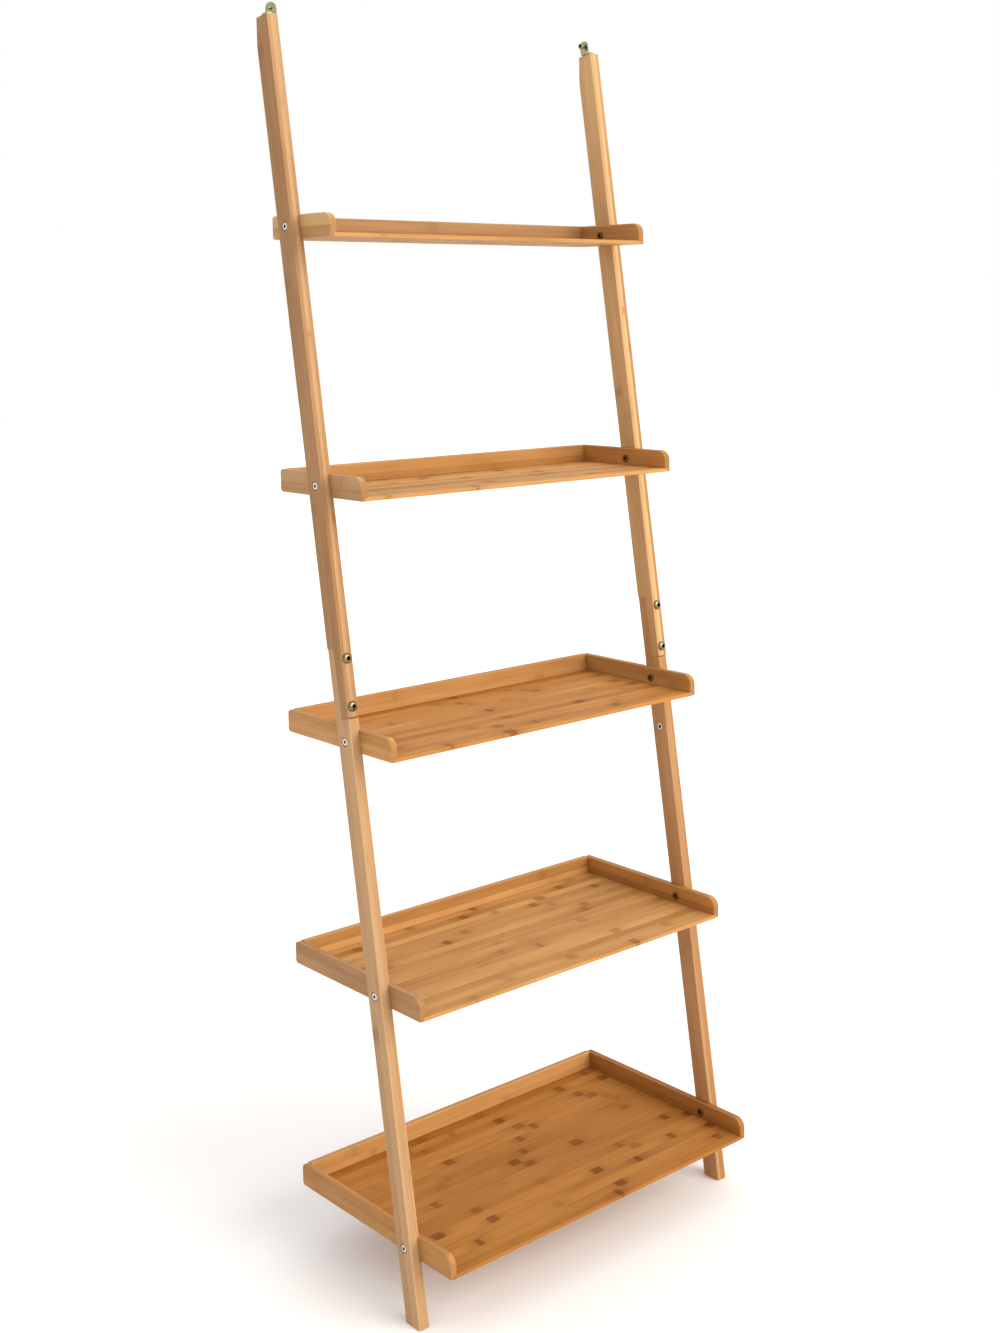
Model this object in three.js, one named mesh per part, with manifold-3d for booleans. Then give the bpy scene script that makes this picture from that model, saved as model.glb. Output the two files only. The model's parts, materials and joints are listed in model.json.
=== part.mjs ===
// Five-tier leaning ladder shelf in bamboo, as it is bolted together from its flat pack.
// Millimetres, +Z up, +X to the right seen from the front, +Y towards the wall that it leans on.
import * as THREE from 'three';
import { mergeVertices } from 'three/addons/utils/BufferGeometryUtils.js';
import Module from 'manifold-3d';

const wasm = await Module();
wasm.setup();

// ---- Driving dimensions -------------------------------------------------------------------
const GAP = 0.3; // left between pieces that touch
const LEAN = THREE.MathUtils.degToRad(8.87); // of the rails, off the vertical

const TRAY_WIDTH = 575;
const BOARD_HEIGHT = 32;
const BOARD_THICKNESS = 10;
const BOARD_FRONT_RADIUS = 15; // top front corner of a side board
const BOARD_REAR_RADIUS = 5;
const BOARD_LOW_RADIUS = 2;
const PANEL_THICKNESS = 5.5;
const RABBET_DEPTH = 5; // how far the panel reaches into the boards
const BOLT_HEIGHT = 16; // of a tray bolt's axis above the tray's underside
const TRAYS = [ // from the top down
  { underside: 1459.5, depth: 140 },
  { underside: 1113, depth: 195 },
  { underside: 770.5, depth: 247.5 },
  { underside: 428.5, depth: 297 },
  { underside: 89, depth: 352 },
];

const RAIL_THICKNESS = 17; // across the shelf
const RAIL_DEPTH = 31.5; // square to its length
const RAIL_LENGTH = 1774; // along the rear edge, from the floor to the square top end
const FOOT_SETBACK = 267.5; // from the wall to the rear edge of the foot
const DADO_DEPTH = 2.7;
const LAP_LOW = 825; // along the rail
const LAP_HIGH = 920;
const TONGUE_RADIUS = 3.5;
const LAP_SCREWS = [841, 906]; // along the rail
const SPARE_INSERT = 715; // along the rail, in the lower rails

const BOLT_HEAD = { radius: 5.2, height: 2.2, sunk: 0.2 };
const COUNTERBORE = { radius: 6.5, depth: 2.7 };
const SHANK_RADIUS = 2.9;
const THREAD_CLEARANCE = 3.2; // radius of the holes and bores that a shank passes
const BOLT_LENGTH = 19.6; // head and shank
const SLEEVE = { flange: 6, rim: 1.5, radius: 4.2, hole: 4.5, reach: 6.2, web: 3.5 };
const LAP_HEAD = { radius: 7, height: 4, key: 3.3 };
const LAP_SCREW_LENGTH = 25.8; // under the head
const LAP_INSERT = { radius: 4.5, length: 11, hole: 4.8, depth: 12 };
const SPARE_NUT = { radius: 4.7, length: 12, hole: 5, depth: 12.4, bore: 2.4, key: 3.4 };
const HEX_RADIUS = 2.6; // across the corners, halved
const HEX_DEPTH = 3.2; // in bolts and lap screws
const NUT_HEX_DEPTH = 2.2; // in sleeve nuts, which have a thin web

const BRACKET = { width: 16, sheet: 2, height: 20.5, reach: 11.4, hole: 2.3, holeHeight: 12 };
const BRACKET_SETBACK = 20.8; // of its screw, from the rail's rear edge
const BRACKET_TURN_LEFT = THREE.MathUtils.degToRad(-63); // from facing the wall
const BRACKET_TURN_RIGHT = THREE.MathUtils.degToRad(97);
const WOOD_SCREW = { head: 3.8, headHeight: 2.4, shank: 2, length: 20 };
const SMALL_SCREW = { head: 4.5, headHeight: 3.2, shank: 2, length: 12, standOff: 5.5 };

// ---- Derived places -----------------------------------------------------------------------
const HALF_TRAY = TRAY_WIDTH / 2;
const BOARD_INNER = HALF_TRAY - BOARD_THICKNESS;
const RAIL_INNER = HALF_TRAY - DADO_DEPTH;
const RAIL_OUTER = RAIL_INNER + RAIL_THICKNESS;
const RAIL_MIDDLE = (RAIL_INNER + RAIL_OUTER) / 2;
const DEEPEST = Math.max(...TRAYS.map((tray) => tray.depth));

/** A point of a rail's side view: along its rear edge from the foot, and forward from that edge. */
function onRail(along, forward) {
  return {
    y: -FOOT_SETBACK + along * Math.sin(LEAN) - forward * Math.cos(LEAN),
    z: along * Math.cos(LEAN) + forward * Math.sin(LEAN),
  };
}

/** The middle of a rail's depth at a height, where the tray bolts pass. */
function boltPlace(tray) {
  const z = tray.underside + BOLT_HEIGHT;
  return { y: -FOOT_SETBACK + z * Math.tan(LEAN) - RAIL_DEPTH / 2 / Math.cos(LEAN), z };
}

// ---- Materials ----------------------------------------------------------------------------
const bamboo = new THREE.MeshStandardMaterial({ color: 0xc98f55, roughness: 0.45, metalness: 0 });
const bambooPanel = new THREE.MeshStandardMaterial({ color: 0xb97c40, roughness: 0.45, metalness: 0 });
const steel = new THREE.MeshStandardMaterial({ color: 0xc9c7c2, roughness: 0.3, metalness: 1 });
const brass = new THREE.MeshStandardMaterial({ color: 0x8f7439, roughness: 0.35, metalness: 1 });
const yellowZinc = new THREE.MeshStandardMaterial({ color: 0xb6a86a, roughness: 0.35, metalness: 1 });

// ---- Shape helpers ------------------------------------------------------------------------
/** A closed geometry as a solid that can be cut and joined. */
function toSolid(geometry) {
  const plain = geometry.clone();
  plain.deleteAttribute('normal');
  plain.deleteAttribute('uv');
  const merged = mergeVertices(plain, 1e-4);
  const triangles = [];
  const index = merged.index.array;
  for (let i = 0; i < index.length; i += 3) {
    const [a, b, c] = [index[i], index[i + 1], index[i + 2]];
    if (a !== b && b !== c && c !== a) triangles.push(a, b, c);
  }
  const mesh = new wasm.Mesh({
    numProp: 3,
    vertProperties: new Float32Array(merged.attributes.position.array),
    triVerts: new Uint32Array(triangles),
  });
  return new wasm.Manifold(mesh);
}

/** A solid as a geometry again. */
function toGeometry(solid) {
  const mesh = solid.getMesh();
  const geometry = new THREE.BufferGeometry();
  geometry.setAttribute('position', new THREE.BufferAttribute(mesh.vertProperties, 3));
  geometry.setIndex(new THREE.BufferAttribute(mesh.triVerts, 1));
  geometry.computeVertexNormals();
  return geometry;
}

/** Cuts every tool out of a geometry. */
function cut(geometry, tools) {
  let solid = toSolid(geometry);
  for (const tool of tools) solid = solid.subtract(toSolid(tool));
  return toGeometry(solid);
}

/** An outline with corners { a, b, r }, rounded where r is given. */
function outline(corners) {
  const shape = new THREE.Shape();
  corners.forEach((corner, i) => {
    const before = corners[(i + corners.length - 1) % corners.length];
    const after = corners[(i + 1) % corners.length];
    const here = new THREE.Vector2(corner.a, corner.b);
    const radius = corner.r ?? 0;
    const back = new THREE.Vector2(before.a, before.b).sub(here).setLength(radius).add(here);
    const on = new THREE.Vector2(after.a, after.b).sub(here).setLength(radius).add(here);
    if (i === 0) shape.moveTo(back.x, back.y);
    else shape.lineTo(back.x, back.y);
    if (radius > 0) {
      const pull = 0.4477; // where a quarter circle's handles lie, from its corner
      const first = back.clone().lerp(here, 1 - pull);
      const second = on.clone().lerp(here, 1 - pull);
      shape.bezierCurveTo(first.x, first.y, second.x, second.y, on.x, on.y);
    }
  });
  shape.closePath();
  return shape;
}

/** A side view, in Y and Z, drawn out along X from low to high. */
function acrossShelf(shape, low, high) {
  const settings = { depth: high - low, bevelEnabled: false, curveSegments: 5 };
  const geometry = new THREE.ExtrudeGeometry(shape, settings);
  const turn = new THREE.Matrix4().makeBasis(
    new THREE.Vector3(0, 1, 0),
    new THREE.Vector3(0, 0, 1),
    new THREE.Vector3(1, 0, 0),
  );
  return geometry.applyMatrix4(turn).translate(low, 0, 0);
}

/** A box between two corners. */
function box(low, high) {
  const size = high.map((value, i) => value - low[i]);
  const middle = high.map((value, i) => (value + low[i]) / 2);
  return new THREE.BoxGeometry(...size).translate(...middle);
}

/** A rod along X, on either side of the shelf. */
function rodAcross(radius, near, far, side, place) {
  return new THREE.CylinderGeometry(radius, radius, far - near, 20)
    .rotateZ(Math.PI / 2)
    .translate(side * (near + far) / 2, place.y, place.z);
}

/** A rod along local Z from low to high. */
function rodAlongZ(radius, low, high, segments = 20) {
  return new THREE.CylinderGeometry(radius, radius, high - low, segments)
    .rotateX(Math.PI / 2)
    .translate(0, 0, (low + high) / 2);
}

/** A turned piece about local Z from a profile of [radius, height] that runs upwards. */
function turned(profile, segments = 20) {
  const points = profile.map(([radius, height]) => new THREE.Vector2(radius, height));
  return new THREE.LatheGeometry(points, segments).rotateX(Math.PI / 2);
}

/** A hexagonal key's socket, sunk from a height on local Z. */
function keySocket(top, depth, radius = HEX_RADIUS) {
  return rodAlongZ(radius, top - depth, top + 1, 6);
}

function named(name, geometry, material) {
  const mesh = new THREE.Mesh(geometry, material);
  mesh.name = name;
  return mesh;
}

/** Turns a piece's local +Z towards a side wall of the shelf and puts it at x, y, z. */
function faceAcross(mesh, x, place, towards) {
  mesh.rotation.set(0, towards * Math.PI / 2, 0);
  mesh.position.set(x, place.y, place.z);
  return mesh;
}

// ---- Rails --------------------------------------------------------------------------------
/** Corner of a rail outline at a place along and across the rail. */
function railCorner(along, forward, r) {
  const place = onRail(along, forward);
  return { a: place.y, b: place.z, r };
}

function upperRailOutline() {
  const wallSetback = (RAIL_LENGTH * Math.sin(LEAN) - FOOT_SETBACK) / Math.cos(LEAN);
  const wallStart = FOOT_SETBACK / Math.sin(LEAN);
  const lapPlane = RAIL_DEPTH / 2 + GAP / 2;
  return outline([
    railCorner(LAP_LOW, RAIL_DEPTH, TONGUE_RADIUS),
    railCorner(RAIL_LENGTH, RAIL_DEPTH, 1),
    railCorner(RAIL_LENGTH, wallSetback),
    railCorner(wallStart, 0),
    railCorner(LAP_HIGH + GAP / 2, 0),
    railCorner(LAP_HIGH + GAP / 2, lapPlane),
    railCorner(LAP_LOW, lapPlane, TONGUE_RADIUS),
  ]);
}

function lowerRailOutline() {
  const lapPlane = RAIL_DEPTH / 2 - GAP / 2;
  const footDepth = RAIL_DEPTH / Math.cos(LEAN);
  return outline([
    { a: -FOOT_SETBACK, b: 0 },
    { a: -FOOT_SETBACK - footDepth, b: 0 },
    railCorner(LAP_LOW - GAP, RAIL_DEPTH),
    railCorner(LAP_LOW - GAP, lapPlane),
    railCorner(LAP_HIGH - GAP / 2, lapPlane),
    railCorner(LAP_HIGH - GAP / 2, 0),
  ]);
}

/** What a rail loses for one tray: the dado, the counterbore and the stepped bolt hole. */
function trayCuts(tray, side) {
  const place = boltPlace(tray);
  const near = Math.min(side * (RAIL_INNER - 1), side * (HALF_TRAY + GAP));
  const far = Math.max(side * (RAIL_INNER - 1), side * (HALF_TRAY + GAP));
  return [
    box(
      [near, -DEEPEST, tray.underside - GAP],
      [far, 1, tray.underside + BOARD_HEIGHT + GAP],
    ),
    rodAcross(SLEEVE.hole, HALF_TRAY - 1, HALF_TRAY + SLEEVE.reach + GAP, side, place),
    rodAcross(THREAD_CLEARANCE, HALF_TRAY, RAIL_OUTER + 1, side, place),
    rodAcross(COUNTERBORE.radius, RAIL_OUTER - COUNTERBORE.depth, RAIL_OUTER + 1, side, place),
  ];
}

/** A tool about local Z, laid square to a rail's front face at a place along it. */
function squareToRail(geometry, along, forward, side) {
  const place = onRail(along, forward);
  return geometry
    .rotateX(Math.PI / 2 - LEAN)
    .translate(side * RAIL_MIDDLE, place.y, place.z);
}

function upperRail(label, side) {
  const low = Math.min(side * RAIL_INNER, side * RAIL_OUTER);
  const tools = TRAYS.slice(0, 2).flatMap((tray) => trayCuts(tray, side));
  for (const along of LAP_SCREWS) {
    tools.push(squareToRail(rodAlongZ(THREAD_CLEARANCE, -RAIL_DEPTH / 2 - 1, 1), along, RAIL_DEPTH, side));
  }
  const screwHole = rodAlongZ(BRACKET.hole, -WOOD_SCREW.length, 1).rotateX(-LEAN);
  const screwPlace = onRail(RAIL_LENGTH, BRACKET_SETBACK);
  tools.push(screwHole.translate(side * RAIL_MIDDLE, screwPlace.y, screwPlace.z));
  const blank = acrossShelf(upperRailOutline(), low, low + RAIL_THICKNESS);
  return named(`${label}_upper_rail`, cut(blank, tools), bamboo);
}

function lowerRail(label, side) {
  const low = Math.min(side * RAIL_INNER, side * RAIL_OUTER);
  const tools = TRAYS.slice(2).flatMap((tray) => trayCuts(tray, side));
  const lapPlane = RAIL_DEPTH / 2;
  for (const along of LAP_SCREWS) {
    tools.push(squareToRail(rodAlongZ(LAP_INSERT.hole, -LAP_INSERT.depth, 1), along, lapPlane, side));
  }
  const spare = onRail(SPARE_INSERT, RAIL_DEPTH / 2);
  tools.push(rodAcross(SPARE_NUT.hole, RAIL_INNER - 1, RAIL_INNER + SPARE_NUT.depth, side, spare));
  const blank = acrossShelf(lowerRailOutline(), low, low + RAIL_THICKNESS);
  return named(`${label}_lower_rail`, cut(blank, tools), bamboo);
}

// ---- Trays --------------------------------------------------------------------------------
function sideBoard(name, tray, side) {
  const { underside, depth } = tray;
  const top = underside + BOARD_HEIGHT;
  const shape = outline([
    { a: 0, b: underside, r: BOARD_REAR_RADIUS },
    { a: -depth, b: underside, r: BOARD_LOW_RADIUS },
    { a: -depth, b: top, r: BOARD_FRONT_RADIUS },
    { a: 0, b: top, r: BOARD_REAR_RADIUS },
  ]);
  const low = Math.min(side * BOARD_INNER, side * HALF_TRAY);
  const rabbetEnds = [side * (BOARD_INNER - 1), side * (BOARD_INNER + RABBET_DEPTH + GAP)];
  rabbetEnds.sort((p, q) => p - q);
  const rabbet = box(
    [rabbetEnds[0], -depth - 1, underside - 1],
    [rabbetEnds[1], -RABBET_DEPTH + GAP, underside + PANEL_THICKNESS + GAP],
  );
  const hole = rodAcross(SLEEVE.hole, BOARD_INNER - 1, HALF_TRAY + 1, side, boltPlace(tray));
  return named(name, cut(acrossShelf(shape, low, low + BOARD_THICKNESS), [rabbet, hole]), bamboo);
}

function backBoard(name, tray) {
  const { underside } = tray;
  const top = underside + BOARD_HEIGHT;
  const ledge = underside + PANEL_THICKNESS + GAP;
  const shape = outline([
    { a: 0, b: underside },
    { a: 0, b: top },
    { a: -BOARD_THICKNESS, b: top },
    { a: -BOARD_THICKNESS, b: ledge },
    { a: -RABBET_DEPTH + GAP, b: ledge },
    { a: -RABBET_DEPTH + GAP, b: underside },
  ]);
  return named(name, acrossShelf(shape, -BOARD_INNER + GAP, BOARD_INNER - GAP), bamboo);
}

function bottomPanel(name, tray) {
  const reach = BOARD_INNER + RABBET_DEPTH;
  const geometry = box(
    [-reach, -tray.depth, tray.underside],
    [reach, -RABBET_DEPTH, tray.underside + PANEL_THICKNESS],
  );
  return named(name, geometry, bambooPanel);
}

// ---- Fasteners ----------------------------------------------------------------------------
/** A flat-headed bolt, its head's face at local Z 0 and its shank below. */
function trayBolt(name) {
  const { radius, height } = BOLT_HEAD;
  const geometry = turned([
    [0, -BOLT_LENGTH],
    [SHANK_RADIUS - 0.6, -BOLT_LENGTH],
    [SHANK_RADIUS, -BOLT_LENGTH + 0.6],
    [SHANK_RADIUS, -height],
    [radius, -height],
    [radius, -0.5],
    [radius - 0.5, 0],
    [0, 0],
  ]);
  return named(name, cut(geometry, [keySocket(0, HEX_DEPTH)]), steel);
}

/** A flanged sleeve nut, its flange's face at local Z 0 and its threaded sleeve below. */
function sleeveNut(name) {
  const length = SLEEVE.rim + GAP + BOARD_THICKNESS + SLEEVE.reach - GAP;
  const geometry = turned([
    [0, -SLEEVE.web],
    [THREAD_CLEARANCE, -SLEEVE.web],
    [THREAD_CLEARANCE, -length],
    [SLEEVE.radius, -length],
    [SLEEVE.radius, -SLEEVE.rim],
    [SLEEVE.flange, -SLEEVE.rim],
    [SLEEVE.flange, -0.4],
    [SLEEVE.flange - 0.4, 0],
    [0, 0],
  ]);
  return named(name, cut(geometry, [keySocket(0, NUT_HEX_DEPTH)]), brass);
}

/** A dome-headed lap screw, its head standing on local Z 0 and its shank below. */
function lapScrew(name) {
  const { radius, height, key } = LAP_HEAD;
  const dome = [];
  const steps = 5;
  for (let i = 0; i <= steps; i++) {
    const angle = (i / steps) * Math.PI / 2;
    dome.push([radius * Math.cos(angle), height * (0.2 + 0.8 * Math.sin(angle))]);
  }
  dome[steps] = [0, height];
  const geometry = turned([
    [0, -LAP_SCREW_LENGTH],
    [SHANK_RADIUS - 0.6, -LAP_SCREW_LENGTH],
    [SHANK_RADIUS, -LAP_SCREW_LENGTH + 0.6],
    [SHANK_RADIUS, 0],
    [radius, 0],
    ...dome,
  ]);
  return named(name, cut(geometry, [keySocket(height, HEX_DEPTH, key)]), brass);
}

/** A threaded insert, its mouth at local Z 0. */
function lapInsert(name) {
  const { radius, length } = LAP_INSERT;
  const geometry = turned([
    [THREAD_CLEARANCE, 0],
    [THREAD_CLEARANCE, -length],
    [radius, -length],
    [radius, 0],
    [THREAD_CLEARANCE, 0],
  ]);
  return named(name, toGeometry(toSolid(geometry)), brass);
}

/** An insert nut with a hexagonal mouth at local Z 0. */
function spareInsert(name) {
  const { radius, length, bore, key } = SPARE_NUT;
  const geometry = turned([
    [bore, 0],
    [bore, -length],
    [radius, -length],
    [radius, -0.4],
    [radius - 0.4, 0],
    [bore, 0],
  ]);
  return named(name, cut(geometry, [keySocket(0, length / 2, key)]), steel);
}

/** A pan-headed screw, its head standing on local Z 0 and its pointed shank below. */
function panScrew(name, size, material) {
  const { head, headHeight, shank, length } = size;
  const tip = 2.5;
  const geometry = turned([
    [0, -length],
    [shank, -length + tip],
    [shank, 0],
    [head, 0],
    [head, headHeight * 0.45],
    [head * 0.82, headHeight * 0.85],
    [head * 0.5, headHeight],
    [0, headHeight],
  ]);
  const slot = 0.5;
  const bar = head * 0.55;
  const cross = [
    box([-bar, -slot, headHeight - 1.2], [bar, slot, headHeight + 1]),
    box([-slot, -bar, headHeight - 1.2], [slot, bar, headHeight + 1]),
  ];
  return named(name, cut(geometry, cross), material);
}

// ---- Top brackets -------------------------------------------------------------------------
/** An angle bracket that turns about local Z, its upright leg towards local +Y. */
function angleBracket(name) {
  const { width, sheet, height, reach, hole, holeHeight } = BRACKET;
  const half = width / 2;
  const foot = new THREE.Shape();
  foot.moveTo(half, 0);
  foot.lineTo(half, reach);
  foot.lineTo(-half, reach);
  foot.lineTo(-half, 0);
  foot.absarc(0, 0, half, Math.PI, 2 * Math.PI, false);
  const upright = new THREE.Shape();
  upright.moveTo(-half, 0);
  upright.lineTo(half, 0);
  upright.lineTo(half, height - half);
  upright.absarc(0, height - half, half, 0, Math.PI, false);
  const settings = { depth: sheet, bevelEnabled: false, curveSegments: 14 };
  const sheetOf = (shape) => new THREE.ExtrudeGeometry(shape, settings);
  const lying = toSolid(sheetOf(foot));
  const standing = toSolid(sheetOf(upright).rotateX(Math.PI / 2).translate(0, reach, 0));
  const down = toSolid(rodAlongZ(hole, -1, sheet + 1));
  const sideways = rodAlongZ(hole, -1, sheet + 1).rotateX(Math.PI / 2);
  const through = toSolid(sideways.translate(0, reach, holeHeight));
  return named(name, toGeometry(lying.add(standing).subtract(down).subtract(through)), yellowZinc);
}

/** One rail's bracket with both of its screws, standing on the rail's top end. */
function topBracket(label, side, turn) {
  const group = new THREE.Group();
  const place = onRail(RAIL_LENGTH, BRACKET_SETBACK);
  group.position.set(side * RAIL_MIDDLE, place.y, place.z);
  group.rotation.x = -LEAN;

  const turning = new THREE.Group();
  turning.rotation.z = turn;
  turning.position.z = GAP;
  const smallScrew = panScrew(`${label}_bracket_small_screw`, SMALL_SCREW, steel);
  smallScrew.rotation.x = -Math.PI / 2;
  smallScrew.position.set(0, BRACKET.reach + SMALL_SCREW.standOff, BRACKET.holeHeight);
  turning.add(angleBracket(`${label}_top_bracket`), smallScrew);

  const woodScrew = panScrew(`${label}_bracket_wood_screw`, WOOD_SCREW, yellowZinc);
  woodScrew.position.z = 2 * GAP + BRACKET.sheet;
  group.add(turning, woodScrew);
  return group;
}

// ---- Assembly -----------------------------------------------------------------------------
const group = new THREE.Group();
group.position.y = DEEPEST / 2; // puts the origin under the middle of the shelf's box

for (const [label, side, turn] of [['left', -1, BRACKET_TURN_LEFT], ['right', 1, BRACKET_TURN_RIGHT]]) {
  group.add(upperRail(label, side), lowerRail(label, side), topBracket(label, side, turn));

  TRAYS.forEach((tray, i) => {
    const place = boltPlace(tray);
    group.add(sideBoard(`tray_${i + 1}_${label}_board`, tray, side));
    const bolt = trayBolt(`tray_${i + 1}_${label}_bolt`);
    group.add(faceAcross(bolt, side * (RAIL_OUTER - BOLT_HEAD.sunk), place, side));
    const nut = sleeveNut(`tray_${i + 1}_${label}_sleeve_nut`);
    group.add(faceAcross(nut, side * (BOARD_INNER - GAP - SLEEVE.rim), place, -side));
  });

  LAP_SCREWS.forEach((along, i) => {
    const seat = onRail(along, RAIL_DEPTH + GAP);
    const screw = lapScrew(`${label}_lap_screw_${i + 1}`);
    screw.rotation.x = Math.PI / 2 - LEAN;
    screw.position.set(side * RAIL_MIDDLE, seat.y, seat.z);
    const mouth = onRail(along, RAIL_DEPTH / 2 - 2 * GAP);
    const insert = lapInsert(`${label}_lap_insert_${i + 1}`);
    insert.rotation.x = Math.PI / 2 - LEAN;
    insert.position.set(side * RAIL_MIDDLE, mouth.y, mouth.z);
    group.add(screw, insert);
  });

  const spare = spareInsert(`${label}_insert_nut`);
  group.add(faceAcross(spare, side * RAIL_INNER, onRail(SPARE_INSERT, RAIL_DEPTH / 2), -side));
}

TRAYS.forEach((tray, i) => {
  group.add(backBoard(`tray_${i + 1}_back_board`, tray), bottomPanel(`tray_${i + 1}_bottom_panel`, tray));
});

export default group;
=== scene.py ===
"""Looks of a leaning bamboo ladder shelf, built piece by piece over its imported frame.

Metres throughout, in the frame's own axes: +Z up, +Y towards the wall that the shelf
leans on, and +X to the right as seen from the front.
"""

import json
import logging
import math
from collections.abc import Callable
from dataclasses import dataclass, field
from enum import Enum

import bmesh
import bpy
from mathutils import Euler, Matrix, Vector


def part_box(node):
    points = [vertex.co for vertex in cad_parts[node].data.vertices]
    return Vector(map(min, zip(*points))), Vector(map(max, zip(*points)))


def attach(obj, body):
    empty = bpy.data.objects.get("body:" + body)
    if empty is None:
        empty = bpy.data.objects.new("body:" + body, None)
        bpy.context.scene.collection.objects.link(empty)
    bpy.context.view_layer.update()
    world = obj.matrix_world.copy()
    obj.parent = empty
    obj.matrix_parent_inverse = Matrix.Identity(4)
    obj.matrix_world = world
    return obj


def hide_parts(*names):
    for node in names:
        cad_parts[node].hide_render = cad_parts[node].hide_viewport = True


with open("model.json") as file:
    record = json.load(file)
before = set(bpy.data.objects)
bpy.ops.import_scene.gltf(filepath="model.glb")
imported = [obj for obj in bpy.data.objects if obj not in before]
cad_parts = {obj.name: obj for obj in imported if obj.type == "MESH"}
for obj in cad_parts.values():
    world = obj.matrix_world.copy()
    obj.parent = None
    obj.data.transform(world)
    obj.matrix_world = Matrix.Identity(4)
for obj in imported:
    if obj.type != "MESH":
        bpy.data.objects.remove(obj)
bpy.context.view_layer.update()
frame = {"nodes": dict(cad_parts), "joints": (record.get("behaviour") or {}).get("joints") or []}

LOG = logging.getLogger("ladder_shelf")

Piece = bpy.types.Object
Finish = bpy.types.Material
Wire = bpy.types.NodeSocket
Edge = bmesh.types.BMEdge
Face = bmesh.types.BMFace
Colour = tuple[float, float, float]
Range = tuple[float, float]

MM = 0.001
TOUCHING = 1e-6  # places no further apart than this count as one
SMOOTH_ANGLE = math.radians(32)
SHARP_ANGLE = math.radians(40)
QUARTER = math.pi / 2
X_AXIS = Vector((1, 0, 0))
Y_AXIS = Vector((0, 1, 0))
Z_AXIS = Vector((0, 0, 1))
END_GRAIN = "end_grain"
RECESS = "recess"


class Side(Enum):
    """Which side of the shelf a piece is on, as the sign of its X."""

    LEFT = -1
    RIGHT = 1

    @property
    def label(self) -> str:
        """The side's word in the names of pieces."""
        return self.name.lower()


class Part(Enum):
    """What edit mode selects, with the word for a mesh's list of it."""

    EDGE = "edges"
    FACE = "faces"


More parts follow.
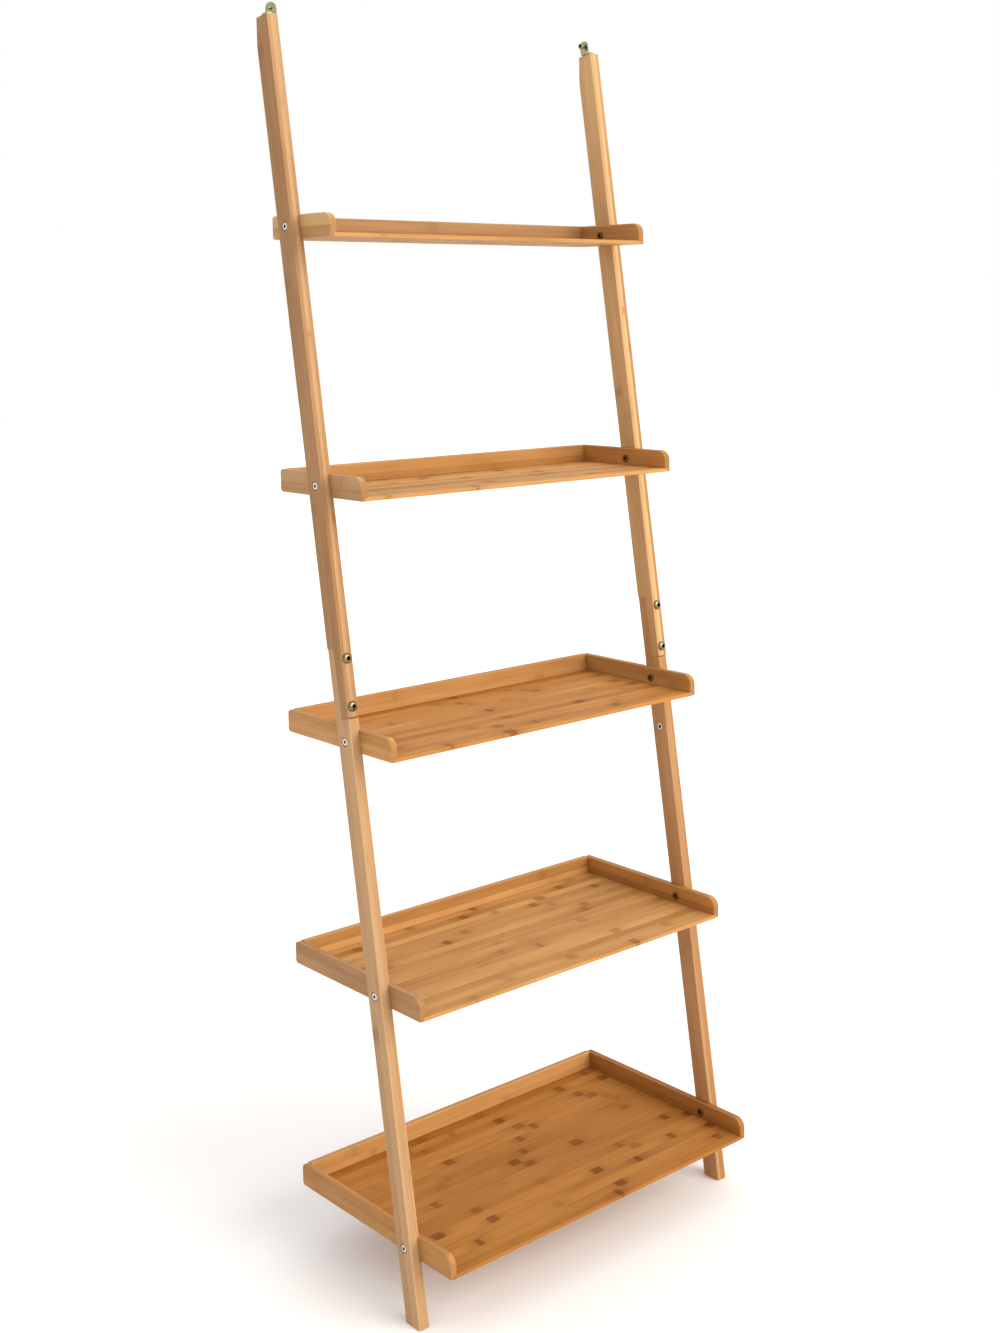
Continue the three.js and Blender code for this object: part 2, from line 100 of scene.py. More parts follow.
# ---- Modelling steps ------------------------------------------------------------------------
class Workbench:
    """The modelling steps that every piece is made with."""

    @staticmethod
    def clear() -> None:
        """Deselects every object."""
        bpy.ops.object.select_all(action="DESELECT")

    @classmethod
    def pick(cls, piece: Piece) -> None:
        """Makes one object the only selected and the active one.

        Args:
            piece: The object to work on.
        """
        cls.clear()
        piece.select_set(True)
        bpy.context.view_layer.objects.active = piece

    @staticmethod
    def settle(name: str) -> Piece:
        """Names the primitive just added and puts its place into its mesh.

        Args:
            name: The piece's name.

        Returns:
            The object, at the origin, unturned and unscaled.
        """
        piece = bpy.context.active_object
        piece.name = name
        piece.data.name = name
        bpy.ops.object.transform_apply(location=True, rotation=True, scale=True)
        return piece

    @classmethod
    def block(cls, name: str, low: Vector, high: Vector, turn: Euler | None = None) -> Piece:
        """Adds a block between two corners, turned about its own middle.

        Args:
            name: The piece's name.
            low: Its lowest corner before it is turned.
            high: Its highest corner before it is turned.
            turn: How it is turned, if at all.

        Returns:
            The block.
        """
        cls.clear()
        bpy.ops.mesh.primitive_cube_add(
            size=1, location=(low + high) / 2, rotation=turn or Euler((0, 0, 0)), scale=high - low
        )
        return cls.settle(name)

    @classmethod
    def rod(
        cls,
        name: str,
        radius: float,
        low: float,
        high: float,
        sides: int = 40,
        place: Matrix | None = None,
    ) -> Piece:
        """Adds a rod on the Z axis, then moves it if it has a place.

        Args:
            name: The piece's name.
            radius: Its radius.
            low: Height of its lower end.
            high: Height of its upper end.
            sides: How many faces go round it.
            place: Where it goes, if it doesn't stay on the origin.

        Returns:
            The rod.
        """
        cls.clear()
        bpy.ops.mesh.primitive_cylinder_add(
            vertices=sides, radius=radius, depth=high - low, location=(0, 0, (low + high) / 2)
        )
        piece = cls.settle(name)
        if place is not None:
            piece.data.transform(place)
        return piece

    @staticmethod
    def discard(piece: Piece) -> None:
        """Removes a piece and its mesh.

        Args:
            piece: A tool or pattern that has done its work.
        """
        mesh = piece.data
        bpy.data.objects.remove(piece)
        bpy.data.meshes.remove(mesh)

    @classmethod
    def cut(cls, piece: Piece, tool: Piece) -> None:
        """Cuts a tool out of a piece and throws the tool away.

        Args:
            piece: What is cut.
            tool: A closed mesh.
        """
        cls.pick(piece)
        modifier = piece.modifiers.new("cut", "BOOLEAN")
        modifier.operation = "DIFFERENCE"
        modifier.solver = "EXACT"
        modifier.object = tool
        bpy.ops.object.modifier_apply(modifier=modifier.name)
        cls.discard(tool)

    @classmethod
    def select(cls, piece: Piece, part: Part, rule: Callable[[Edge | Face], bool]) -> None:
        """Goes into edit mode with only the edges or faces that a rule picks selected.

        Args:
            piece: The piece to shape.
            part: Whether edges or faces are picked.
            rule: Says of an edge or face whether it is selected.
        """
        cls.pick(piece)
        bpy.ops.object.mode_set(mode="EDIT")
        bpy.ops.mesh.select_mode(type=part.name)
        bpy.ops.mesh.select_all(action="DESELECT")
        mesh = bmesh.from_edit_mesh(piece.data)
        for item in getattr(mesh, part.value):
            item.select_set(rule(item))
        bmesh.update_edit_mesh(piece.data)

    @classmethod
    def select_lowest(cls, piece: Piece) -> None:
        """Goes into edit mode with only the lowest level face selected.

        Args:
            piece: The piece to shape.
        """
        lowest = min(vertex.co.z for vertex in piece.data.vertices) + TOUCHING
        cls.select(piece, Part.FACE, lambda f: f.normal.z < -0.9 and f.calc_center_median().z < lowest)

    @staticmethod
    def leave() -> None:
        """Goes back to object mode."""
        bpy.ops.object.mode_set(mode="OBJECT")

    @classmethod
    def ease_edges(cls, piece: Piece, radius: float, segments: int, rule: Callable[[Edge], bool]) -> None:
        """Rounds the edges that a rule picks.

        Args:
            piece: The piece to round.
            radius: How far the rounding reaches from each edge.
            segments: How many facets round each edge.
            rule: Says of an edge whether it is rounded.
        """
        cls.select(piece, Part.EDGE, rule)
        bpy.ops.mesh.bevel(offset=radius, segments=segments, affect="EDGES", clamp_overlap=True)
        cls.leave()

    @staticmethod
    def draw_out(way: tuple[float, float, float]) -> None:
        """Extrudes the selected face along a way."""
        bpy.ops.mesh.extrude_region_move(TRANSFORM_OT_translate={"value": way})

    @classmethod
    def rim(cls, inset: float, rise: float) -> None:
        """Insets the selected end face, then extrudes it along the Z axis.

        Args:
            inset: How far the face shrinks on every side.
            rise: How far it then moves up, or down where it is negative.
        """
        if inset > 0:
            bpy.ops.mesh.inset(thickness=inset, use_even_offset=True)
        cls.draw_out((0, 0, rise))

    @classmethod
    def slice_off(cls, piece: Piece, point: Vector, outwards: Vector) -> None:
        """Saws off all that lies beyond a plane and closes the cut.

        Args:
            piece: What is sawn.
            point: A point of the plane.
            outwards: The plane's normal, towards what is thrown away.
        """
        cls.select(piece, Part.FACE, lambda _: True)
        bpy.ops.mesh.bisect(
            plane_co=point, plane_no=outwards, use_fill=True, clear_outer=True, clear_inner=False
        )
        cls.leave()

    @classmethod
    def polish(cls, piece: Piece) -> None:
        """Smooths a piece's rounded edges and keeps its flat faces flat.

        Args:
            piece: The finished shape.
        """
        cls.select(piece, Part.FACE, lambda _: True)
        bpy.ops.mesh.remove_doubles(threshold=TOUCHING)
        bpy.ops.mesh.normals_make_consistent(inside=False)
        cls.leave()
        bpy.ops.object.shade_smooth_by_angle(angle=SMOOTH_ANGLE)
        modifier = piece.modifiers.new("weigh", "WEIGHTED_NORMAL")
        modifier.keep_sharp = True
        bpy.ops.object.modifier_apply(modifier=modifier.name)

    @staticmethod
    def copy(source: Piece, name: str, place: Matrix) -> Piece:
        """Copies a piece with a mesh of its own, and puts its place into that mesh.

        Args:
            source: The piece modelled on the origin.
            name: The copy's name.
            place: Where the copy goes.

        Returns:
            The copy.
        """
        piece = source.copy()
        piece.data = source.data.copy()
        piece.name = name
        piece.data.name = name
        bpy.context.scene.collection.objects.link(piece)
        piece.data.transform(place)
        return piece


def is_sharp(edge: Edge) -> bool:
    """Says whether an edge turns by more than a rounding's facet does."""
    return len(edge.link_faces) == 2 and edge.calc_face_angle(0) > SHARP_ANGLE


def is_head_rim(edge: Edge) -> bool:
    """Says whether an edge is a sharp one at the outer face of a flush head."""
    return is_sharp(edge) and all(vertex.co.z > -MM for vertex in edge.verts)


def runs_along(edge: Edge, axis: Vector) -> bool:
    """Says whether an edge is parallel to an axis."""
    way = edge.verts[1].co - edge.verts[0].co
    return way.length > TOUCHING and abs(way.normalized().dot(axis)) > 0.999


def install(piece: Piece, node: str, body: str, finish: Finish) -> None:
    """Dresses a finished piece and puts it in the place of its CAD node.

    Args:
        piece: The finished piece.
        node: The CAD node that it stands for.
        body: The body that it rides on.
        finish: Its material.
    """
    piece.data.materials.clear()
    piece.data.materials.append(finish)
    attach(piece, body)
    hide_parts(node)
    LOG.info("%s: %d faces, on %s", piece.name, len(piece.data.polygons), body)


def mark_recess(piece: Piece, top: float, depth: float, radius: float) -> None:
    """Notes on every face whether it lies inside a drive socket or bore, which the metal's material darkens
    as painted shade.

    Args:
        piece: A fastener that stands on the origin, its head up.
        top: Height of the recess's mouth.
        depth: How deep it goes.
        radius: Its radius, to its corners.
    """
    note = piece.data.attributes.new(RECESS, "FLOAT", "FACE")
    ceiling = top - 0.15 * MM
    ground = top - depth - 0.1 * MM
    for face, row in zip(piece.data.polygons, note.data):
        within = math.hypot(face.center.x, face.center.y) < radius * 0.92
        row.value = float(within and ground < face.center.z < ceiling)


# ---- Finishes -------------------------------------------------------------------------------
class Graph:
    """A material's nodes, added and wired from code."""

    def __init__(self, name: str) -> None:
        """Starts a material with nothing but its shader and output.

        Args:
            name: The material's name.
        """
        self.material = bpy.data.materials.new(name)
        self.material.use_nodes = True
        self.tree = self.material.node_tree
        self.tree.nodes.clear()
        self.shader = self.tree.nodes.new("ShaderNodeBsdfPrincipled")
        output = self.tree.nodes.new("ShaderNodeOutputMaterial")
        self.tree.links.new(self.shader.outputs["BSDF"], output.inputs["Surface"])

    def feed(self, target: Wire, value: object) -> None:
        """Links a socket to an input, or sets the input to a plain value.

        Args:
            target: The input.
            value: A socket, a number or a tuple.
        """
        if isinstance(value, Wire):
            self.tree.links.new(value, target)
        else:
            target.default_value = value

    def node(self, kind: str, *values: object) -> bpy.types.Node:
        """Adds a node and feeds its first inputs.

        Args:
            kind: Its kind, by Blender's name without the common start.
            values: What its inputs get, in their order.

        Returns:
            The node.
        """
        node = self.tree.nodes.new(f"ShaderNode{kind}")
        for target, value in zip(node.inputs, values):
            self.feed(target, value)
        return node

    def math(self, operation: str, first: object, second: object = 0.0, third: object = 0.0) -> Wire:
        """Adds a Math node.

        Args:
            operation: What it does, by Blender's name.
            first: Its first value.
            second: Its second value.
            third: Its third value.

        Returns:
            Its result.
        """
        node = self.node("Math", first, second, third)
        node.operation = operation
        return node.outputs[0]

    def times(self, first: object, second: object) -> Wire:
        """The product of two values."""
        return self.math("MULTIPLY", first, second)

    def minus(self, first: object, second: object) -> Wire:
        """The difference of two values."""
        return self.math("SUBTRACT", first, second)

    def plus_times(self, base: object, first: object, second: object) -> Wire:
        """A base value and the product of two others, added up."""
        return self.math("MULTIPLY_ADD", first, second, base)

    def apart(self, count: Wire, place: object) -> Wire:
        """How far the part of a count after its point is from a place between 0 and 1."""
        return self.math("ABSOLUTE", self.minus(self.math("FRACT", count), place))

    def along(self, point: Wire, axis: Vector, start: Vector) -> Wire:
        """How far a point lies along an axis from a start.

        Args:
            point: The point.
            axis: The axis.
            start: Where the distance is 0.

        Returns:
            The distance.
        """
        node = self.node("VectorMath", point, axis)
        node.operation = "DOT_PRODUCT"
        return self.minus(node.outputs["Value"], start.dot(axis))

    def vector(self, *parts: object) -> Wire:
        """Three numbers as one vector."""
        return self.node("CombineXYZ", *parts).outputs[0]

    def stretched(self, parts: tuple[Wire, ...], scales: Colour) -> Wire:
        """A vector of three numbers, each times a scale of its own."""
        return self.vector(*(self.times(part, scale) for part, scale in zip(parts, scales)))

    def chance(self, *parts: object) -> tuple[Wire, ...]:
        """Three random numbers from 0 to 1 that depend on three others.

        Args:
            parts: The three others.

        Returns:
            The random numbers.
        """
        noise = self.node("TexWhiteNoise", self.vector(*parts))
        noise.noise_dimensions = "3D"
        split = self.node("SeparateColor", noise.outputs["Color"])
        return tuple(split.outputs[:3])

    def noise(self, point: Wire, scale: float, detail: float = 2.0, rough: float = 0.5) -> Wire:
        """Soft noise from 0 to 1.

        Args:
            point: Where it is read.
            scale: Its scale.
            detail: How many finer layers it has.
            rough: How strong the finer layers are.

        Returns:
            The noise's value.
        """
        node = self.tree.nodes.new("ShaderNodeTexNoise")
        self.feed(node.inputs["Vector"], point)
        node.inputs["Scale"].default_value = scale
        node.inputs["Detail"].default_value = detail
        node.inputs["Roughness"].default_value = rough
        return node.outputs[0]

    def remap(self, value: Wire, given: Range, wanted: Range, smooth: bool = False) -> Wire:
        """Maps a range of a value to another range, clamped.

        Args:
            value: What is mapped.
            given: Its range.
            wanted: What that range becomes.
            smooth: Whether the change eases in and out.

        Returns:
            The mapped value.
        """
        node = self.node("MapRange", value, *given, *wanted)
        node.interpolation_type = "SMOOTHSTEP" if smooth else "LINEAR"
        return node.outputs[0]

    def mix(self, share: object, first: object, second: object) -> Wire:
        """Mixes two colours.

        Args:
            share: How much of the second.
            first: The first colour.
            second: The second colour.

        Returns:
            The mixed colour.
        """
        node = self.tree.nodes.new("ShaderNodeMix")
        node.data_type = "RGBA"
        for place, value in ((0, share), (6, first), (7, second)):
            self.feed(node.inputs[place], value)
        return node.outputs[2]

    def bump(self, height: Wire, strength: float, depth: float) -> None:
        """Raises the surface by a height.

        Args:
            height: The height, from 0 to 1.
            strength: How much of it shows.
            depth: How high 1 is, in metres.
        """
        node = self.tree.nodes.new("ShaderNodeBump")
        node.inputs["Strength"].default_value = strength
        node.inputs["Distance"].default_value = depth
        self.feed(node.inputs["Height"], height)
        self.tree.links.new(node.outputs["Normal"], self.shader.inputs["Normal"])

    def attribute(self, name: str) -> Wire:
        """A number that the piece's own faces carry.

        Args:
            name: The attribute's name.

        Returns:
            The number.
        """
        node = self.tree.nodes.new("ShaderNodeAttribute")
        node.attribute_name = name
        return node.outputs["Fac"]

    def place(self) -> Wire:
        """The point of the piece, in the frame's own axes."""
        return self.tree.nodes.new("ShaderNodeTexCoord").outputs["Object"]


@dataclass(frozen=True)
class Grain:
    """How the bamboo strips of one kind of board lie.

    Attributes:
        along: The direction that the fibres run in.
        across: The direction that the strips lie side by side in.
        stack: The direction that the layers of strips lie on each other in.
    """

    along: Vector
    across: Vector
    stack: Vector


@dataclass(frozen=True)
class Spot:
    """A point of a board, measured among its strips.

    Attributes:
        run: How far along the fibres it is.
        side: How far across the strips.
        rise: How far through the layers.
        side_count: Its side, counted in strips.
        rise_count: Its rise, counted in layers.
        column: Which strip it is in.
        row: Which layer it is in.
        tone: The strip's own random number for its brightness.
        phase: Its random number for where its knots fall.
        shift: Its random number for where its fibres fall.
    """

    run: Wire
    side: Wire
    rise: Wire
    side_count: Wire
    rise_count: Wire
    column: Wire
    row: Wire
    tone: Wire
    phase: Wire
    shift: Wire


@dataclass(frozen=True)
class Knots:
    """The marks that the cane's knots leave in its strips.

    Attributes:
        strength: How dark the darkest is, from 0 to 1.
        spacing: How far apart the knots of one strip are.
        half_length: Half the length of the shortest mark and of the longest.
        fading: How far inside and outside a mark's end it fades.
        ragged: How far a mark's end wanders.
        drawn_in: How much shorter a mark is at its strip's edges.
        halo: How dark the cane next to a mark is, against the mark.
        halo_reach: Where that starts to fade and where it ends.
        favour: The power that makes faint marks commoner than dark ones.
    """

    strength: float
    spacing: float
    half_length: Range = (8.5 * MM, 14 * MM)
    fading: Range = (-2.5 * MM, 3.5 * MM)
    ragged: float = 6 * MM
    drawn_in: float = 3 * MM
    halo: float = 0.3
    halo_reach: Range = (6 * MM, 38 * MM)
    favour: float = 1.3


class Shade(Enum):
    """How pale and how warm a board is made, as what the bamboo's colours are multiplied by: partly the
    cane's own tone, and partly painted light, paler for faces out of the key light and darker and warmer for
    painted shade inside the trays.
    """

    STRAW = (1.4, 1.6, 1.8)
    TAN = (1.1, 1.2, 1.4)
    CARAMEL = (1.1, 1.1, 1.15)
    HONEY = (1.3, 1.3, 1.1)
    AMBER = (1.2, 1.05, 0.7)
    RUSSET = (1.0, 0.8, 0.45)

    def of(self, colour: Colour, level: float = 1.0, power: float = 1.0) -> tuple[float, ...]:
        """A colour in this shade.

        Args:
            colour: The bamboo's colour.
            level: What its brightness is multiplied by.
            power: How much of the shade it takes, 1 being all.

        Returns:
            Red, green, blue and an alpha of 1.
        """
        return (*(part * share**power * level for part, share in zip(colour, self.value)), 1.0)


@dataclass(frozen=True)
class Bamboo:
    """Lacquered bamboo glued from strips.

    Attributes:
        grain: How its strips lie.
        origin: A corner of the board, where its first strip starts.
        seed: A number that no other board has.
        shade: Its shade, partly the cane's own tone and partly painted light for how the board is lit.
        knots: The marks of the cane's knots.
        strip: Width of a strip.
        layer: Thickness of a strip.
        contrast: How much the strips differ in brightness.
        sheen: How strongly it mirrors.
        gloss: Roughness of the lacquer where the fibres are lowest and highest.
        light: Colour of its palest fibres.
        dark: Colour of its darkest fibres.
        node: Colour of the knot marks and the glue lines.
        fibre_scale: How often the broad fibres repeat in a metre of run, side and rise.
        fine_scale: How often the fine fibres do.
        cloud_scale: How often the clouds do in run, side and phase.
        ripple_scale: How often the ragged ends of the knot marks do.
        seam: How much a glue line shows.
        seam_width: Where it starts to fade and where it ends.
    """

    grain: Grain
    origin: Vector
    seed: float
    shade: Shade
    knots: Knots
    strip: float = 16 * MM
    layer: float = 5 * MM
    contrast: float = 0.7
    sheen: float = 0.22
    gloss: Range = (0.55, 0.45)
    light: Colour = (0.500, 0.275, 0.118)
    dark: Colour = (0.300, 0.135, 0.046)
    node: Colour = (0.150, 0.054, 0.008)
    fibre_scale: Colour = (5.5, 210, 260)
    fine_scale: Colour = (16, 1500, 1500)
    cloud_scale: Colour = (5, 22, 12)
    ripple_scale: Colour = (30, 420, 420)
    seam: float = 0.22
    seam_width: Range = (0.1 * MM, 0.45 * MM)

    def material(self, name: str) -> Finish:
        """Makes the material.

        Args:
            name: Its name.

        Returns:
            The material, to be used on one board.
        """
        graph = Graph(name)
        spot = self._spot(graph)
        fibres = self._fibres(graph, spot)
        colour = self._strip_colour(graph, spot, fibres)
        for share in (self._knot_marks(graph, spot), self._seams(graph, spot)):
            colour = graph.mix(share, colour, self.shade.of(self.node))
        colour = graph.mix(graph.attribute(END_GRAIN), colour, self._end_colour(graph, spot))
        inputs = graph.shader.inputs
        graph.feed(inputs["Base Color"], colour)
        graph.feed(inputs["Roughness"], graph.remap(fibres, (0.3, 0.7), self.gloss))
        inputs["Specular IOR Level"].default_value = self.sheen
        inputs["Specular Tint"].default_value = (1.0, 0.82, 0.62, 1.0)
        graph.bump(fibres, 0.25, 0.15 * MM)
        return graph.material

    def _spot(self, graph: Graph) -> Spot:
        """Measures the point that is shaded.

        Args:
            graph: The material's nodes.

        Returns:
            Its place among the strips.
        """
        point = graph.place()
        axes = (self.grain.along, self.grain.across, self.grain.stack)
        run, side, rise = (graph.along(point, axis, self.origin) for axis in axes)
        side_count = graph.math("DIVIDE", side, self.strip)
        rise_count = graph.math("DIVIDE", rise, self.layer)
        column = graph.math("FLOOR", side_count)
        row = graph.math("FLOOR", rise_count)
        draws = graph.chance(column, row, self.seed)
        return Spot(run, side, rise, side_count, rise_count, column, row, *draws)

    def _end_colour(self, graph: Graph, spot: Spot) -> Wire:
        """The colour where the fibres are cut across: darker, with fine dots.

        Args:
            graph: The material's nodes.
            spot: The point that is shaded.

        Returns:
            The colour.
        """
        dots = graph.noise(graph.vector(spot.side, spot.rise, 0.0), 1400.0, 2.0, 0.6)
        deep, pale = (self.shade.of(self.dark, level, 0.5) for level in (0.8, 1.25))
        return graph.mix(graph.remap(dots, (0.35, 0.65), (0.0, 1.0)), deep, pale)

    def _fibres(self, graph: Graph, spot: Spot) -> Wire:
        """Long thin fibres, different in each strip.

        Args:
            graph: The material's nodes.
            spot: The point that is shaded.

        Returns:
            Their height and brightness, from 0 to 1.
        """
        drift = graph.times(spot.shift, 9.0)
        run, side, rise = self.fibre_scale
        broad = graph.vector(
            graph.times(spot.run, run),
            graph.plus_times(drift, spot.side, side),
            graph.plus_times(graph.times(spot.tone, 7.0), spot.rise, rise),
        )
        run, side, rise = self.fine_scale
        fine = graph.vector(
            graph.times(spot.run, run),
            graph.plus_times(drift, spot.side, side),
            graph.times(spot.rise, rise),
        )
        wide = graph.noise(broad, 1.0, 3.0, 0.55)
        thin = graph.noise(fine, 1.0, 2.0, 0.6)
        return graph.plus_times(graph.times(wide, 0.55), thin, 0.45)

    def _strip_colour(self, graph: Graph, spot: Spot, fibres: Wire) -> Wire:
        """The colour of the fibres, paler or darker from strip to strip and along each strip.

        Args:
            graph: The material's nodes.
            spot: The point that is shaded.
            fibres: The fibres' brightness.

        Returns:
            The colour.
        """
        cloud = graph.noise(graph.stretched((spot.run, spot.side, spot.phase), self.cloud_scale), 1.0)
        level = graph.math("MULTIPLY_ADD", fibres, 1.3, -0.15)
        level = graph.plus_times(level, graph.minus(spot.tone, 0.5), self.contrast)
        level = graph.plus_times(level, graph.minus(cloud, 0.5), 1.0)
        level = graph.math("MINIMUM", graph.math("MAXIMUM", level, 0.0), 1.0)
        return graph.mix(level, self.shade.of(self.dark), self.shade.of(self.light))

    def _knot_marks(self, graph: Graph, spot: Spot) -> Wire:
        """The marks of the knots: short bars, as wide as their strip.

        Args:
            graph: The material's nodes.
            spot: The point that is shaded.

        Returns:
            How much of the knot colour shows.
        """
        knots = self.knots
        places = graph.math("DIVIDE", spot.run, knots.spacing)
        count = graph.math("ADD", places, graph.times(spot.phase, 7.0))
        lane = graph.plus_times(spot.column, spot.row, 17.0)
        place, power, length = graph.chance(lane, graph.math("FLOOR", count), self.seed + 0.37)
        away = graph.apart(count, graph.remap(place, (0.0, 1.0), (0.2, 0.8)))
        away = graph.times(away, knots.spacing)
        ripple = graph.noise(graph.stretched((spot.run, spot.side, spot.rise), self.ripple_scale), 1.0)
        corners = graph.remap(graph.apart(spot.side_count, 0.5), (0.4, 0.5), (0.0, knots.drawn_in), True)
        away = graph.math("ADD", graph.plus_times(away, ripple, knots.ragged), corners)
        half = graph.remap(length, (0.0, 1.0), knots.half_length)
        inside = graph.remap(graph.minus(half, away), knots.fading, (0.0, 1.0), True)
        strength = graph.times(graph.math("POWER", power, knots.favour), knots.strength)
        halo = graph.times(graph.remap(away, knots.halo_reach, (knots.halo, 0.0), True), strength)
        mottled = graph.times(strength, graph.remap(ripple, (0.3, 0.7), (1.0, 0.65)))
        return graph.math("MAXIMUM", graph.times(inside, mottled), halo)

    def _seams(self, graph: Graph, spot: Spot) -> Wire:
        """The dark glue lines between strips.

        Args:
            graph: The material's nodes.
            spot: The point that is shaded.

        Returns:
            How much of them shows.
        """
        shown: list[Wire] = []
        for count, size in ((spot.side_count, self.strip), (spot.rise_count, self.layer)):
            part = graph.math("FRACT", count)
            edge = graph.math("MINIMUM", part, graph.minus(1.0, part))
            shown.append(graph.remap(graph.times(edge, size), self.seam_width, (self.seam, 0.0)))
        return graph.math("MAXIMUM", *shown)


def install_board(piece: Piece, node: str, bamboo: Bamboo) -> None:
    """Polishes a bamboo board, notes how squarely each face cuts its fibres, and installs it.

    Args:
        piece: The finished board.
        node: The CAD node that it stands for.
        bamboo: What it is made of.
    """
    Workbench.polish(piece)
    note = piece.data.attributes.new(END_GRAIN, "FLOAT", "FACE")
    for face, row in zip(piece.data.polygons, note.data):
        row.value = min(max(abs(face.normal.dot(bamboo.grain.along)) * 2 - 0.9, 0.0), 1.0)
    install(piece, node, "shelf", bamboo.material(f"bamboo_{node}"))


@dataclass(frozen=True)
class Metal:
    """Plated or bare metal.

    Attributes:
        name: The material's name.
        colour: Its main colour.
        tint: The colour that it drifts to in patches.
        gloss: Its roughness.
        drift: How much of the tint shows at most.
        oxide: How much of the tint's brightness is left inside sockets and bores, as painted shade.
    """

    name: str
    colour: Colour
    tint: Colour
    gloss: float
    drift: float = 0.6
    oxide: float = 0.12

    def material(self) -> Finish:
        """Makes the material.

        Returns:
            The material.
        """
        graph = Graph(self.name)
        inputs = graph.shader.inputs
        point = graph.place()
        patches = graph.noise(point, 190.0, 3.0, 0.6)
        wear = graph.noise(point, 1400.0, 2.0, 0.6)
        share = graph.remap(patches, (0.35, 0.65), (0.0, self.drift))
        colour = graph.mix(share, (*self.colour, 1.0), (*self.tint, 1.0))
        # Painted shade: faces inside sockets and bores are darkened to a small share of the tint.
        painted_socket_shade = (*(part * self.oxide for part in self.tint), 1.0)
        graph.feed(inputs["Base Color"], graph.mix(graph.attribute(RECESS), colour, painted_socket_shade))
        graph.feed(
            inputs["Roughness"], graph.remap(wear, (0.3, 0.7), (self.gloss - 0.07, self.gloss + 0.1))
        )
        inputs["Metallic"].default_value = 1.0
        graph.bump(wear, 0.12, 0.05 * MM)
        return graph.material


@dataclass(frozen=True)
class Hardware:
    """The materials that the fasteners share."""

    steel: Finish
    grey_steel: Finish
    brass: Finish
    dull_brass: Finish
    yellow_zinc: Finish

    @classmethod
    def made(cls) -> "Hardware":
        """Makes the five metals.

        Returns:
            The set.
        """
        metals = (
            Metal("zinc_plated_steel", (0.70, 0.69, 0.67), (0.52, 0.52, 0.52), 0.26),
            Metal("grey_steel", (0.27, 0.265, 0.24), (0.16, 0.16, 0.13), 0.30),
            Metal("dark_brass", (0.26, 0.215, 0.105), (0.15, 0.125, 0.06), 0.24),
            Metal("dull_brass", (0.25, 0.16, 0.065), (0.12, 0.075, 0.03), 0.30),
            Metal("yellow_zinc", (0.46, 0.43, 0.22), (0.27, 0.28, 0.15), 0.28, 0.8),
        )
        return cls(*(metal.material() for metal in metals))


@dataclass(frozen=True)
class PlainFloor:
    """A matt pale floor."""

    colour: tuple[float, ...] = (0.93, 0.93, 0.93, 1.0)

    def material(self) -> Finish:
        """Makes the material.

        Returns:
            The material.
        """
        graph = Graph("pale_floor")
        graph.shader.inputs["Base Color"].default_value = self.colour
        graph.shader.inputs["Roughness"].default_value = 0.9
        graph.shader.inputs["Specular IOR Level"].default_value = 0.1
        return graph.material


# ---- Fasteners ------------------------------------------------------------------------------
@dataclass(frozen=True)
class PanScrew:
    """The sizes of a pan-headed screw with a cross recess and a point.

    Attributes:
        head: Radius of its head.
        height: Height of its head.
        length: Length of its shank.
    """

    head: float
    height: float
    length: float


